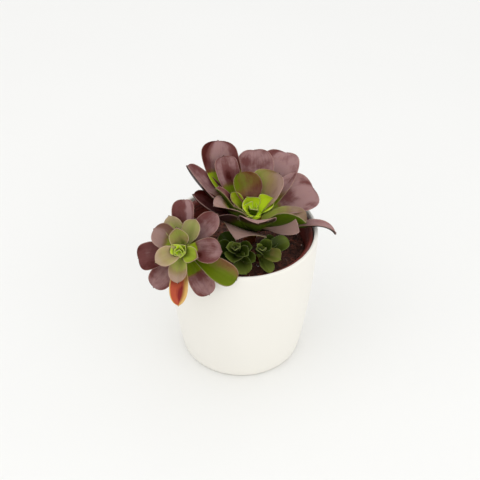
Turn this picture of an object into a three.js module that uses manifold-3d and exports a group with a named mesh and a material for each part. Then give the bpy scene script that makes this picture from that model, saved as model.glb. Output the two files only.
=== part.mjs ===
// A potted aeonium: two purple-tipped rosettes and two small green offsets grow from peat in a
// ribbed nursery pot, which stands inside a smooth white cover pot.
//
// Millimetres, +Z up. The origin is the centre of the cover pot's flat foot, and the plant faces -Y.
// Every leaf is one spoon-shaped blade bent along a curved midrib. The leaves of a rosette follow
// each other round the stem by the golden angle, from the heart outwards, and change with age by
// one rule. Where a leaf of this plant grew beside the rule, its own values are listed under it.

import * as THREE from 'three';
import { mergeVertices } from 'three/addons/utils/BufferGeometryUtils.js';
import Module from 'manifold-3d';

const wasm = await Module();
wasm.setup();

// Cover pot: a convex wall that widens from a rounded foot to a plain lip.
const COVER = {
  height: 121.6,
  rimRadius: 62.5,
  footRadius: 51.1,
  belly: 1.9, // how early the wall widens above the foot
  footRounding: 3,
  wall: 3.1,
  lipRounding: 1.2,
  lipShare: 0.3, // of the rounding, where the lip's curve has its middle point
  floor: 5,
  floorCorner: [4, 8], // how far in and up the floor bends into the wall
  footShares: [0, 0.12, 0.4, 1], // of the foot's rounding, where the profile has points
  wallShares: [0.12, 0.26, 0.42, 0.6, 0.8], // the same of the height
  sides: 48,
};

// Nursery pot: thin moulded plastic with a turned-out rim, two ribs inside it and drain holes.
const GROW = {
  rimTop: 118.4,
  rimRadius: 58.6,
  rimDepth: 9,
  rimReach: 3.2, // how far the rim stands out from the wall
  rimWall: 1.2,
  rimRounding: 0.4,
  rimFlat: 2.2, // width of the rim's top
  baseRadius: 43,
  wall: 1.2,
  skirtStep: 2, // height over which the wall turns out into the rim
  floor: 1.6,
  ribs: [2.5, 6], // how far under the rim's top each rib is
  rib: { depth: 0.7, above: 0.9, flat: 0.8, below: 1.6, seat: 1 },
  drainHoles: 6,
  drainRadius: 4,
  drainCircle: 30,
  drainSides: 12,
  sides: 40,
};

const FIT = 0.3; // clearance between two pieces that rest on each other

// Peat: a lumpy top a little under the rim.
const SOIL = {
  level: 105,
  lump: 1.1,
  waves: [[0.31, 0.12, 0.4], [-0.17, 0.29, 1.9], [0.08, -0.36, 3.1], [0.42, 0.33, 5.2]],
  edgeDrop: 2,
  edgePower: 4, // how close to the wall the top drops
  edgeDepth: 6, // the top's edge clears the pot's wall at this depth
  extraFit: [0.1, 0.4], // more clearance, at the top's edge and at the floor's corner
  rings: 5,
  sides: 32,
};

const STEM = { sides: 8, steps: 8 };
const BUD = { sides: 8, rings: 6, sink: 1.5 }; // the closed heart between the youngest leaves

const GOLDEN_ANGLE = 137.5;

// How fast each value of a leaf goes from its young to its old one. The rest change evenly.
const PACE = { length: 0.55, width: 0.55, pitch: 0.65, curl: 0.65 };

// A leaf, from its root: azimuth round the stem and height of the root on it; length and width;
// pitch of its root above the plane of the rosette; curl, by which the midrib steepens to the tip;
// droop, by which the last third bends back out; fold and cup of the blade across the midrib;
// thickness; twist and sway along its length; root, how far from the axis it starts;
// foot, its width at the root as a share of the widest; widest, where along it that is; blunt, how
// square its end is, and rounding, how the margin closes there; taper, how late the blade widens from
// its foot; lopsided, how much wider its left half is; centre, the point of the rosette's plane that
// it starts round. What all leaves share:
const LEAF_SHAPE = {
  tip: 0.26, // width of the tip, as a share of the widest
  point: 1, // the small point in the middle of the tip
  droop: { from: 0.6, power: 1.5 },
  cup: { fade: 0.3, sink: 0.15 }, // how much shallower at the tip, and the middle's share of it
  fold: [1.15, 0.7], // share of the fold at the root and at the tip
  thick: [1.25, 0.6], // share of the thickness at the root and at the tip
  thinnest: 0.9, // along the midrib
  edge: 0.6, // thickness of the margin
  edgePower: 2.2, // how close to the margin the blade thins
};

// Values of a leaf that don't change with age.
const PLAIN_LEAF = {
  twist: 0, sway: 0, widest: 0.66, blunt: 2.6, rounding: 0.53, taper: 1.8, lopsided: 0, centre: [0, 0],
};

const MAIN = {
  name: 'main_rosette',
  crown: [10.5, 6.5, 129],
  axis: [0, 0, 1],
  stem: { radius: 5.2, path: [[5, 3, 90], [6.5, 4, 108], [10.5, 6.5, 126], [10.5, 6.5, 132]] },
  bud: 2.8,
  colour: 0x7a5056,
  leaves: 33,
  firstAzimuth: 227.5,
  young: {
    height: 2, length: 11, width: 10, pitch: 70, curl: 0, droop: 0, fold: 24, cup: 0.4,
    thick: 1.5, root: 0.6, foot: 0.4,
  },
  old: {
    height: -9, length: 70, width: 31, pitch: 20, curl: 55, droop: 40, fold: 15, cup: 0.25,
    thick: 2.4, root: 3.5, foot: 0.26,
  },
  // Leaves that this plant has lost or never grew.
  missing: [4, 6, 9, 14, 17, 24, 29, 31, 32],
  own: {
    0: { pitch: 62 },
    1: { azimuth: 12, length: 18, width: 18, pitch: 56, twist: 30, blunt: 3, root: 5 },
    2: { azimuth: 150, length: 16, width: 19, pitch: 74, twist: -30, root: 4, blunt: 3 },
    3: { azimuth: 200, length: 15, width: 15, pitch: 48, twist: -60, blunt: 3, root: 1.5 },
    5: { azimuth: 178, length: 28, width: 10, pitch: 50, twist: -60, blunt: 3, root: 4 },
    7: {
      azimuth: 127, length: 37, width: 26, pitch: 64, curl: -5, sway: -5, root: 3.5, blunt: 3,
      foot: 0.12,
    },
    8: { azimuth: 205, height: -4, length: 27, width: 16, pitch: 36, curl: 30 },
    10: { azimuth: 190, height: -8, length: 51, width: 12, pitch: 40, curl: 36, droop: 30 },
    11: {
      azimuth: 341, height: -8, length: 44, width: 32, pitch: 14, curl: 12, droop: 10, fold: 35,
      twist: -30,
    },
    12: {
      azimuth: 45, length: 40, width: 34, pitch: 58, curl: -5, droop: 5, root: 3.5, blunt: 3,
      foot: 0.12,
    },
    13: {
      azimuth: 213, height: -9, length: 54, width: 28, pitch: 38, curl: 36, droop: 75, fold: 7,
      blunt: 2, rounding: 0.75, lopsided: 0.15,
    },
    15: {
      azimuth: 152, length: 58, width: 20, pitch: 38, curl: 26, droop: 0, sway: -43, fold: 8, cup: 0.1,
      blunt: 6, widest: 0.74, foot: 0.15,
    },
    16: {
      azimuth: 273, height: -12, length: 54, width: 30, pitch: 40, curl: 28, droop: 62, fold: 8,
      cup: 0.12, twist: -6,
    },
    18: {
      azimuth: 187, height: -16, length: 64, width: 27, pitch: 38, curl: 8, droop: 0, twist: -10,
      lopsided: 0.2,
    },
    19: {
      azimuth: 325, height: -10, length: 43, width: 18, pitch: 14, curl: 12, droop: 5, fold: 20,
      cup: 0, foot: 0.1, taper: 3, twist: 55, lopsided: 0.6,
    },
    20: { azimuth: 90, length: 63, width: 32, pitch: 32, curl: 8, blunt: 2.5 },
    21: {
      azimuth: 245, height: -14, length: 42, width: 38, pitch: 38, curl: 5, droop: 110, fold: 3,
      cup: 0, widest: 0.55, blunt: 1.6, rounding: 1.1, twist: -7,
    },
    22: { azimuth: 28, length: 57.5, width: 38, pitch: 15, curl: 0, droop: 20, sway: 8, twist: 32 },
    23: { azimuth: 163, length: 73, width: 30, pitch: 28, curl: 30, droop: 0, sway: 15, lopsided: 0.3 },
    25: {
      azimuth: 62, height: -11, length: 74, width: 34, pitch: 32, curl: 6, droop: 50, sway: 8,
      twist: 6, fold: 8,
    },
    26: {
      azimuth: 208, height: -12, length: 44, width: 28, pitch: 30, curl: 25, droop: 60, fold: 7,
      twist: 35,
    },
    27: { azimuth: 353, height: -12, length: 68, width: 10, pitch: 8, curl: 11, droop: 80, twist: -17 },
    28: {
      azimuth: 152, height: -2, length: 72, width: 31, pitch: 22, curl: 50, droop: 25, sway: -60,
      blunt: 4, widest: 0.74,
    },
    30: { azimuth: 20, height: -11, length: 38, width: 20, pitch: 14, curl: -12 },
  },
};

const SIDE = {
  name: 'side_rosette',
  crown: [-45, -45.5, 137],
  axis: [-0.1, -0.74, 0.66],
  stem: {
    radius: 3.6,
    path: [[-26, -20, 92], [-29, -23, 108], [-36, -32, 124], [-43.5, -42, 134], [-45.3, -46.5, 138]],
  },
  bud: 2.6,
  colour: 0x84565c,
  leaves: 24,
  firstAzimuth: 271,
  young: {
    height: 4, length: 8, width: 8, pitch: 70, curl: 0, droop: 0, fold: 30, cup: 0.45,
    thick: 1.5, root: 0.6, foot: 0.36, taper: 1.8,
  },
  old: {
    height: -7, length: 42, width: 23, pitch: 5, curl: 10, droop: 10, fold: 12, cup: 0.25,
    thick: 2.6, root: 3, foot: 0.2, taper: 3,
  },
  missing: [10, 16, 19, 20, 21, 22, 23],
  own: {
    0: { centre: [-2, -3] },
    1: { length: 11, width: 10, pitch: 55, centre: [-2, -3] },
    2: { azimuth: 210, length: 26, width: 16, pitch: 42, curl: -10, blunt: 3 },
    3: { azimuth: 340, length: 20, width: 14, pitch: 44, blunt: 3, centre: [-1, -2] },
    4: { length: 22, width: 16, pitch: 48, blunt: 3 },
    5: { azimuth: 257, length: 28, width: 15, pitch: 30, curl: -10, sway: 15, blunt: 3 },
    6: { azimuth: -4, length: 30, width: 21, pitch: 16, curl: -6, widest: 0.7 },
    7: { azimuth: 146, length: 27, width: 20, pitch: 28, curl: -14, blunt: 3 },
    8: { azimuth: 299, length: 39, width: 19, pitch: 0, curl: -6, blunt: 3, widest: 0.7 },
    9: { azimuth: 65, length: 26, width: 15, pitch: 26, blunt: 3.4 },
    11: { azimuth: 330, length: 46, width: 19, pitch: 8, curl: -10, droop: 16, blunt: 3, widest: 0.72 },
    12: { azimuth: 108, length: 28, width: 17, pitch: 24 },
    13: { azimuth: 264, length: 45, width: 15, pitch: 20, sway: 8 },
    14: { azimuth: 45, length: 37, width: 18, pitch: 14, widest: 0.7 },
    15: { azimuth: 192, length: 35, width: 22, pitch: 12, curl: -8, droop: 16, blunt: 3.4, widest: 0.7 },
    17: { azimuth: 92, length: 37, width: 18, pitch: 6, curl: -10, droop: 22, blunt: 3, widest: 0.7 },
    18: { azimuth: 232, length: 36, width: 19, pitch: 8, droop: 16, blunt: 3, widest: 0.7 },
  },
};

const OFFSET_YOUNG = {
  height: 5, length: 8, width: 7, pitch: 75, curl: 0, droop: 0, fold: 30, cup: 0.5,
  thick: 1.4, root: 0.5, foot: 0.4,
};
const OFFSET_OLD = {
  height: -3, length: 23, width: 14, pitch: 15, curl: 10, droop: 15, fold: 16, cup: 0.3,
  thick: 2, root: 1.8, foot: 0.3,
};

const FRONT_OFFSET = {
  name: 'front_offset',
  crown: [-4, -24.5, 116.5],
  axis: [-0.1, -0.5, 0.86],
  stem: { radius: 2.6, path: [[-2, -20, 96], [-3, -21.5, 106], [-4.2, -25.5, 118.5]] },
  bud: 1.8,
  colour: 0x3f5f22,
  leaves: 13,
  firstAzimuth: 268,
  young: OFFSET_YOUNG,
  old: OFFSET_OLD,
  missing: [4, 9],
  own: {
    1: { length: 8, width: 9, pitch: 58 },
    2: { length: 11, width: 11, pitch: 55 },
    3: { azimuth: 322, length: 18, width: 12, pitch: 44 },
    5: { azimuth: 266, length: 16, width: 17, pitch: 40, blunt: 3 },
    6: { azimuth: 2, length: 15, width: 12, pitch: 36 },
    7: { azimuth: 170, length: 17 },
    8: { azimuth: 292, length: 20, width: 15, pitch: 14, curl: -8, blunt: 3 },
    10: { azimuth: 209, length: 19 },
    11: { azimuth: 326, height: -1, length: 18, width: 11, pitch: 22 },
    12: { azimuth: 130, length: 19, pitch: 20 },
  },
};

const RIGHT_OFFSET = {
  name: 'right_offset',
  crown: [14, -23, 113.5],
  axis: [0.2, -0.4, 0.9],
  stem: { radius: 2.4, path: [[12, -19, 96], [12.6, -20, 105], [14.4, -24, 115.5]] },
  bud: 1.9,
  colour: 0x4a6428,
  leaves: 9,
  firstAzimuth: 278,
  young: OFFSET_YOUNG,
  old: OFFSET_OLD,
  missing: [5, 7],
  own: {
    1: { azimuth: 40, length: 13, width: 11, pitch: 50 },
    2: { length: 8, pitch: 62 },
    3: { azimuth: 333, length: 18, width: 14, pitch: 25, blunt: 3 },
    4: { azimuth: 50, length: 18, width: 12, pitch: 8 },
    6: { azimuth: 24, height: 0, length: 25, width: 14, pitch: 20 },
    8: { length: 18, width: 12, pitch: 14, fold: 30 },
  },
};

const rad = THREE.MathUtils.degToRad;
const { lerp, clamp } = THREE.MathUtils;

// Solids: a closed three.js geometry goes in, is joined or cut, and comes back as a geometry.

const WELD = 1e-3; // points closer than this are one

function solid(geometry) {
  const bare = geometry.clone();
  bare.deleteAttribute('normal');
  bare.deleteAttribute('uv');
  const merged = mergeVertices(bare, WELD);
  return new wasm.Manifold(new wasm.Mesh({
    numProp: 3,
    vertProperties: new Float32Array(merged.attributes.position.array),
    triVerts: new Uint32Array(merged.index.array),
  }));
}

function geometryOf(manifold) {
  const mesh = manifold.getMesh();
  const geometry = new THREE.BufferGeometry();
  geometry.setAttribute('position', new THREE.BufferAttribute(new Float32Array(mesh.vertProperties), 3));
  geometry.setIndex(new THREE.BufferAttribute(new Uint32Array(mesh.triVerts), 1));
  geometry.computeVertexNormals();
  return geometry;
}

// The biggest shell of joined solids, without the tiny hollows that crossing leaves close off.
function biggestShell(joined) {
  const geometry = geometryOf(solid(geometryOf(joined)));
  const index = geometry.index.array;
  const position = geometry.attributes.position;
  const parent = Array.from({ length: position.count }, (_, i) => i);
  const root = (i) => {
    while (parent[i] !== i) i = parent[i] = parent[parent[i]];
    return i;
  };
  for (let i = 0; i < index.length; i += 3) {
    parent[root(index[i + 1])] = root(index[i]);
    parent[root(index[i + 2])] = root(index[i]);
  }
  const shells = new Map();
  const [a, b, c] = [new THREE.Vector3(), new THREE.Vector3(), new THREE.Vector3()];
  for (let i = 0; i < index.length; i += 3) {
    const key = root(index[i]);
    const shell = shells.get(key) ?? { faces: [], volume: 0 };
    shells.set(key, shell);
    a.fromBufferAttribute(position, index[i]);
    b.fromBufferAttribute(position, index[i + 1]);
    c.fromBufferAttribute(position, index[i + 2]);
    shell.faces.push(index[i], index[i + 1], index[i + 2]);
    shell.volume += a.dot(b.cross(c)) / 6;
  }
  const biggest = [...shells.values()].reduce((best, next) => (next.volume > best.volume ? next : best));
  const whole = new THREE.BufferGeometry();
  whole.setAttribute('position', position.clone());
  whole.setIndex(biggest.faces);
  return whole;
}

function piece(name, geometry, colour, roughness) {
  const finish = new THREE.MeshStandardMaterial({ color: colour, roughness, metalness: 0 });
  const mesh = new THREE.Mesh(geometry, finish);
  mesh.name = name;
  return mesh;
}

// A closed skin over a row of rings that all have the same number of points.
function loft(rings) {
  const size = rings[0].length;
  const points = rings.flat();
  const faces = [];
  const first = points.push(centreOf(rings[0])) - 1;
  const last = points.push(centreOf(rings.at(-1))) - 1;
  for (let i = 0; i < size; i++) {
    const j = (i + 1) % size;
    faces.push(first, j, i);
    const end = (rings.length - 1) * size;
    faces.push(last, end + i, end + j);
    for (let r = 0; r < rings.length - 1; r++) {
      const [a, b] = [r * size + i, r * size + j];
      const [c, d] = [a + size, b + size];
      faces.push(a, b, d, a, d, c);
    }
  }
  const geometry = new THREE.BufferGeometry().setFromPoints(points);
  geometry.setIndex(faces);
  return geometry;
}

function centreOf(ring) {
  return ring.reduce((sum, point) => sum.add(point), new THREE.Vector3()).divideScalar(ring.length);
}

// Leaves.

// Half the blade's width at a share s of its length, as a share of the widest.
function spoon(s, { foot, widest, blunt, rounding, taper }) {
  if (s < widest) return foot + (1 - foot) * Math.sin((Math.PI / 2) * (s / widest)) ** taper;
  const beyond = (s - widest) / (1 - widest);
  return Math.max((1 - beyond ** blunt) ** rounding, LEAF_SHAPE.tip);
}

// The midrib: points and directions at even steps, in the rosette's frame.
function midrib(leaf, steps = 40) {
  const { droop } = LEAF_SHAPE;
  const points = [];
  const directions = [];
  const radial = new THREE.Vector3(Math.cos(rad(leaf.azimuth)), Math.sin(rad(leaf.azimuth)), 0);
  const point = new THREE.Vector3(...leaf.centre, leaf.height).addScaledVector(radial, leaf.root);
  for (let i = 0; i <= steps; i++) {
    const s = i / steps;
    const bend = clamp((s - droop.from) / (1 - droop.from), 0, 1) ** droop.power;
    const pitch = rad(leaf.pitch + leaf.curl * s - leaf.droop * bend);
    const heading = rad(leaf.azimuth + leaf.sway * s);
    const direction = new THREE.Vector3(
      Math.cos(pitch) * Math.cos(heading), Math.cos(pitch) * Math.sin(heading), Math.sin(pitch));
    if (i > 0) {
      const step = direction.clone().add(directions.at(-1)).multiplyScalar(leaf.length / steps / 2);
      point.add(step);
    }
    points.push(point.clone());
    directions.push(direction);
  }
  return { points, directions, steps };
}

// One blade as a closed solid: a ring of points round it at each station along the midrib.
function leafGeometry(leaf, stations, across) {
  const { points, directions, steps } = midrib(leaf);
  const along = new THREE.Vector3(-Math.sin(rad(leaf.azimuth)), Math.cos(rad(leaf.azimuth)), 0);
  const up = new THREE.Vector3(0, 0, 1);
  const rings = stations.map((s) => {
    const place = Math.min(Math.floor(s * steps), steps - 1);
    const share = s * steps - place;
    const centre = points[place].clone().lerp(points[place + 1], share);
    const forward = directions[place].clone().lerp(directions[place + 1], share).normalize();
    const side = up.clone().cross(forward).normalize();
    if (side.dot(along) < 0) side.negate();
    const normal = forward.clone().cross(side);
    side.applyAxisAngle(forward, rad(leaf.twist) * s);
    normal.applyAxisAngle(forward, rad(leaf.twist) * s);
    const even = (leaf.width / 2) * spoon(s, leaf);
    const fold = rad(leaf.fold) * lerp(...LEAF_SHAPE.fold, s);
    const middle = Math.max(leaf.thick * lerp(...LEAF_SHAPE.thick, s), LEAF_SHAPE.thinnest);
    const top = across.map((t) => {
      const half = even * (1 + leaf.lopsided * Math.sign(t));
      const hollow = leaf.cup * half * (t * t * (1 - LEAF_SHAPE.cup.fade * s) - LEAF_SHAPE.cup.sink);
      const rise = half * Math.abs(t) * Math.sin(fold) + hollow;
      const point = centre.clone().addScaledVector(side, half * t * Math.cos(fold));
      if (s === 1) point.addScaledVector(forward, LEAF_SHAPE.point * (1 - Math.abs(t)));
      return point.addScaledVector(normal, rise);
    });
    const bottom = top.map((point, i) => {
      const thick = lerp(middle, LEAF_SHAPE.edge, Math.abs(across[i]) ** LEAF_SHAPE.edgePower);
      return point.clone().addScaledVector(normal, -thick);
    });
    return [...bottom, ...top.reverse()];
  });
  return loft(rings);
}

function leavesOf(rosette) {
  const leaves = [];
  for (let n = 0; n < rosette.leaves; n++) {
    if (rosette.missing.includes(n)) continue;
    const age = n / (rosette.leaves - 1);
    const leaf = { ...PLAIN_LEAF, azimuth: rosette.firstAzimuth + GOLDEN_ANGLE * n, age };
    for (const [key, young] of Object.entries(rosette.young)) {
      leaf[key] = lerp(young, rosette.old[key], age ** (PACE[key] ?? 1));
    }
    leaves.push({ ...leaf, ...rosette.own[n] });
  }
  return leaves;
}

const LONG_LEAF = { stations: [0, 0.3, 0.52, 0.7, 0.84, 0.94, 1], across: [-1, 0, 1] };
const SHORT_LEAF = { stations: [0, 0.4, 0.7, 0.9, 1], across: [-1, 0, 1] };
const LONG_FROM = 24; // leaves at least this long get the finer grid

// Stems.

function stemGeometry({ radius, path }, grow = 0, lower = 0) {
  const points = path.map(([x, y, z]) => new THREE.Vector3(x, y, z));
  points[0].z -= lower;
  const ring = new THREE.Shape();
  for (let i = 0; i < STEM.sides; i++) {
    const angle = (i / STEM.sides) * 2 * Math.PI;
    const reach = radius + grow;
    ring[i ? 'lineTo' : 'moveTo'](reach * Math.cos(angle), reach * Math.sin(angle));
  }
  const curve = new THREE.CatmullRomCurve3(points);
  return new THREE.ExtrudeGeometry(ring, { steps: STEM.steps, extrudePath: curve, curveSegments: 1 });
}

// One solid for a rosette: its stem and all its leaves, joined.
function rosettePiece(rosette) {
  const normal = new THREE.Vector3(...rosette.axis).normalize();
  const right = new THREE.Vector3(1, 0, 0);
  right.addScaledVector(normal, -right.dot(normal)).normalize();
  const back = normal.clone().cross(right);
  const frame = new THREE.Matrix4().makeBasis(right, back, normal).setPosition(...rosette.crown);
  let body = solid(stemGeometry(rosette.stem));
  const bud = new THREE.SphereGeometry(rosette.bud, BUD.sides, BUD.rings);
  bud.translate(0, 0, rosette.young.height - BUD.sink);
  body = body.add(solid(bud.applyMatrix4(frame)));
  for (const leaf of leavesOf(rosette)) {
    const grid = leaf.length >= LONG_FROM ? LONG_LEAF : SHORT_LEAF;
    body = body.add(solid(leafGeometry(leaf, grid.stations, grid.across).applyMatrix4(frame)));
  }
  return piece(rosette.name, biggestShell(body), rosette.colour, 0.45);
}

// Pots and soil.

function turned(profile, sides) {
  const points = profile.map(([r, z]) => new THREE.Vector2(r, z));
  return new THREE.LatheGeometry(points, sides).rotateX(Math.PI / 2);
}

function coverRadius(z) {
  const { height, rimRadius, footRadius, belly, footRounding } = COVER;
  const wall = footRadius + (rimRadius - footRadius) * (1 - (1 - clamp(z / height, 0, 1)) ** belly);
  const low = clamp(1 - z / footRounding, 0, 1);
  return wall - footRounding * (1 - Math.sqrt(1 - low * low));
}

function coverPot() {
  const { height, wall, floor, lipRounding, lipShare, floorCorner, footShares, wallShares, sides } = COVER;
  const outer = footShares.map((share) => share * COVER.footRounding);
  outer.push(...wallShares.map((share) => share * height), height - lipRounding);
  const profile = [[0, 0], ...outer.map((z) => [coverRadius(z), z])];
  const lip = coverRadius(height);
  const bend = lipShare * lipRounding;
  profile.push([lip - bend, height - bend], [lip - lipRounding, height], [lip - wall + lipRounding, height]);
  profile.push([lip - wall + bend, height - bend], [lip - wall, height - lipRounding]);
  for (const share of wallShares.slice(1).reverse()) {
    profile.push([coverRadius(share * height) - wall, share * height]);
  }
  const [inset, rise] = floorCorner;
  profile.push([coverRadius(floor + rise) - wall, floor + rise], [coverRadius(floor) - wall - inset, floor]);
  profile.push([0, floor]);
  return piece('cover_pot', geometryOf(solid(turned(profile, sides))), 0xf0ece4, 0.45);
}

// Inner radius of the nursery pot's wall at a height.
function growInner(z) {
  const { rimTop, rimRadius, rimReach, baseRadius, wall } = GROW;
  const bottom = COVER.floor + FIT;
  return lerp(baseRadius, rimRadius - rimReach, clamp((z - bottom) / (rimTop - bottom), 0, 1)) - wall;
}

function growPot() {
  const { rimTop, rimRadius, rimWall, rimRounding, rimFlat, wall, skirtStep, floor, rib } = GROW;
  const bottom = COVER.floor + FIT;
  const skirt = rimTop - GROW.rimDepth;
  const profile = [
    [0, bottom], [growInner(bottom) + wall, bottom],
    [growInner(skirt + skirtStep) + wall, skirt + skirtStep],
    [rimRadius - rimWall, skirt + skirtStep], [rimRadius - rimWall, skirt],
    [rimRadius, skirt], [rimRadius, rimTop - rimRounding], [rimRadius - rimRounding, rimTop],
    [rimRadius - rimFlat, rimTop], [rimRadius - rimFlat - rimRounding, rimTop - rimRounding],
  ];
  for (const drop of GROW.ribs) {
    const z = rimTop - drop;
    const inner = growInner(z) + rib.seat;
    profile.push([inner, z + rib.above], [inner - rib.depth, z]);
    profile.push([inner - rib.depth, z - rib.flat], [inner, z - rib.below]);
  }
  profile.push([growInner(skirt - skirtStep), skirt - skirtStep]);
  profile.push([growInner(bottom + floor), bottom + floor], [0, bottom + floor]);
  let body = solid(turned(profile, GROW.sides));
  for (let i = 0; i < GROW.drainHoles; i++) {
    const angle = (i / GROW.drainHoles) * 2 * Math.PI;
    const [x, y] = [GROW.drainCircle * Math.cos(angle), GROW.drainCircle * Math.sin(angle)];
    const hole = new THREE.CylinderGeometry(GROW.drainRadius, GROW.drainRadius, floor * 3, GROW.drainSides);
    body = body.subtract(solid(hole.rotateX(Math.PI / 2).translate(x, y, bottom + floor / 2)));
  }
  return piece('grow_pot', geometryOf(body), 0x6a2a22, 0.5);
}

// Lumps of the peat's top, as a height over its level.
function lumps(x, y) {
  const sum = SOIL.waves.reduce((total, [u, v, phase]) => total + Math.sin(u * x + v * y + phase), 0);
  return (SOIL.lump * sum) / SOIL.waves.length;
}

function soil(stems) {
  const { level, edgeDrop, edgePower, edgeDepth, extraFit, sides } = SOIL;
  const bottom = COVER.floor + FIT + GROW.floor + FIT;
  const edge = growInner(level - edgeDepth) - FIT - extraFit[0];
  const ring = (radius, height) => Array.from({ length: sides }, (_, i) => {
    const angle = (i / sides) * 2 * Math.PI;
    const [x, y] = [radius * Math.cos(angle), radius * Math.sin(angle)];
    return new THREE.Vector3(x, y, height ?? level + lumps(x, y) - edgeDrop * (radius / edge) ** edgePower);
  });
  const rings = [ring(growInner(bottom) - FIT - extraFit[1], bottom)];
  for (let i = SOIL.rings; i > 0; i--) rings.push(ring((edge * i) / SOIL.rings));
  let body = solid(loft(rings));
  for (const stem of stems) body = body.subtract(solid(stemGeometry(stem, FIT, FIT)));
  return piece('soil', geometryOf(body), 0x3a221b, 0.95);
}

const plants = [MAIN, SIDE, FRONT_OFFSET, RIGHT_OFFSET];
const aeonium = new THREE.Group();
aeonium.add(coverPot(), growPot(), soil(plants.map((plant) => plant.stem)));
for (const plant of plants) aeonium.add(rosettePiece(plant));

export default aeonium;
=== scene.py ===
# %% [markdown]
# # A potted aeonium
#
# Two purple-tipped rosettes and two small green offsets grow from peat in a dark red nursery pot, and
# that pot stands inside a smooth white cover pot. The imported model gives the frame: where each pot
# stands, how far each leaf reaches. This script dresses it: every plain solid is replaced by a finer
# piece of the same form, with its finish.

import math
import random

import bpy
import numpy as np
from mathutils import Matrix, Vector, noise


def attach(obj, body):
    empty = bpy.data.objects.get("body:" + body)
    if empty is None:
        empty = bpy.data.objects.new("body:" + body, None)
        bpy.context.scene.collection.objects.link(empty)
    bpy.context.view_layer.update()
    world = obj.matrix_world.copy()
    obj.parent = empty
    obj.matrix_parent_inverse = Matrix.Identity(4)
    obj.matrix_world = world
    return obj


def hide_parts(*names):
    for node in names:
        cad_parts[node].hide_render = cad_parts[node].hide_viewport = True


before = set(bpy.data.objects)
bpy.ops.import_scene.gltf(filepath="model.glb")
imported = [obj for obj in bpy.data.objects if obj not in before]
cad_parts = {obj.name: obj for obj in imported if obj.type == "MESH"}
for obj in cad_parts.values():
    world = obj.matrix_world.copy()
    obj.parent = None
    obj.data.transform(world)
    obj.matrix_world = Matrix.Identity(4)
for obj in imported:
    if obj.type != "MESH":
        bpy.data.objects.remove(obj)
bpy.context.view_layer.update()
MM = 0.001  # the tables below are in millimetres, and Blender works in metres
rng = random.Random(12)
print("frame:", sorted(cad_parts))

# %% [markdown]
# ## The camera
#
# The picture looks down on the plant at 39 degrees, through a rather long lens, which keeps the sides
# of the pot from leaning. A camera can be aimed by Euler angles, but its own three directions are
# easier to follow: forward and down, upward, and to the right with a trace of roll.

# %% Camera
ELEVATION, ROLL = math.radians(39.09), math.radians(0.42)
LOOK_AT = Vector((-1.56, 0, 109.45)) * MM
DISTANCE = 829 * MM
FOCAL_LENGTH, SENSOR = 75, 36  # in millimetres, as on a real camera

forward = Vector((0, math.cos(ELEVATION), -math.sin(ELEVATION)))
level_up = Vector((0, math.sin(ELEVATION), math.cos(ELEVATION)))
right = Vector((1, 0, 0)) * math.cos(ROLL) + level_up * math.sin(ROLL)
upward = level_up * math.cos(ROLL) - Vector((1, 0, 0)) * math.sin(ROLL)

bpy.ops.object.select_all(action="DESELECT")
bpy.ops.object.camera_add(location=LOOK_AT - forward * DISTANCE)
camera = bpy.context.object
camera.name = "camera"
camera.rotation_euler = Matrix((right, upward, -forward)).transposed().to_euler()
camera.data.lens = FOCAL_LENGTH
camera.data.sensor_width = SENSOR
bpy.context.scene.camera = camera
print("camera at", [round(v, 3) for v in camera.location])

# %% [markdown]
# ## The light
#
# A product photograph of this kind is lit by big white panels all round, so the world itself is white.
# Two large area lamps stand in it, because their size is what makes a shadow soft: one at the upper
# left gives the leaves their modelling, and one at the front right lightens the near side.

# %% Light
PLANT_CENTRE = Vector((0, 0, 0.12))
WHITE = (1, 1, 1, 1)


def panel(name, place, size, watts):
    """A square soft box that shines from a place towards the plant."""
    bpy.ops.object.light_add(type="AREA", location=place)
    lamp = bpy.context.object
    lamp.name = name
    lamp.data.size = size
    lamp.data.energy = watts
    lamp.rotation_euler = (PLANT_CENTRE - Vector(place)).to_track_quat("-Z", "Y").to_euler()


panel("key_panel", (-0.75, -0.35, 1.15), size=1.3, watts=2.3)
panel("fill_panel", (0.9, -0.9, 0.8), size=1.4, watts=3.2)

world = bpy.data.worlds.new("white_studio")
world.use_nodes = True
world.node_tree.nodes["Background"].inputs["Color"].default_value = WHITE
world.node_tree.nodes["Background"].inputs["Strength"].default_value = 1.0
bpy.context.scene.world = world
bpy.context.scene.view_settings.view_transform = "Standard"

# %% [markdown]
# ## Working by hand, in code
#
# The pots and the peat are round, so they are turned as on a lathe: a circle is added, and its ring
# is extruded and resized again and again, up and down the profile. A screw modifier could turn the
# same profile, but its seam would then have to be closed. The helpers below keep the work short.

# %% Helpers for objects
def add(operator, **settings):
    """Adds one primitive with nothing else selected, and returns it."""
    bpy.ops.object.select_all(action="DESELECT")
    operator(**settings)
    return bpy.context.object


def select(objects):
    """Selects these objects alone, and makes the first one active."""
    bpy.ops.object.select_all(action="DESELECT")
    for each in objects:
        each.select_set(True)
    bpy.context.view_layer.objects.active = objects[0]


def join(name, objects):
    select(objects)
    bpy.ops.object.join()
    joined = bpy.context.object
    joined.name = joined.data.name = name
    return joined


def copy_of(blank):
    """A copy with a mesh of its own, so that its points can be moved alone."""
    made = blank.copy()
    made.data = blank.data.copy()
    bpy.context.scene.collection.objects.link(made)
    return made


def settle(made, node, material):
    """Rides a finished piece on the object. A node is the plain solid that it stands for, if any."""
    made.data.materials.clear()
    made.data.materials.append(material)
    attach(made, "root")
    if node:
        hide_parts(node)
    made.data.calc_loop_triangles()
    print(made.name, len(made.data.loop_triangles), "triangles")


# %% [markdown]
# A profile is a list of radii and heights. Its round stretches are arcs, and the points of a small
# detail, such as a bead, are given from the place where the detail sits.

# %% Helpers for turned pieces
SHARP = math.radians(40)  # an edge that turns by more than this stays a crisp one


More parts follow.
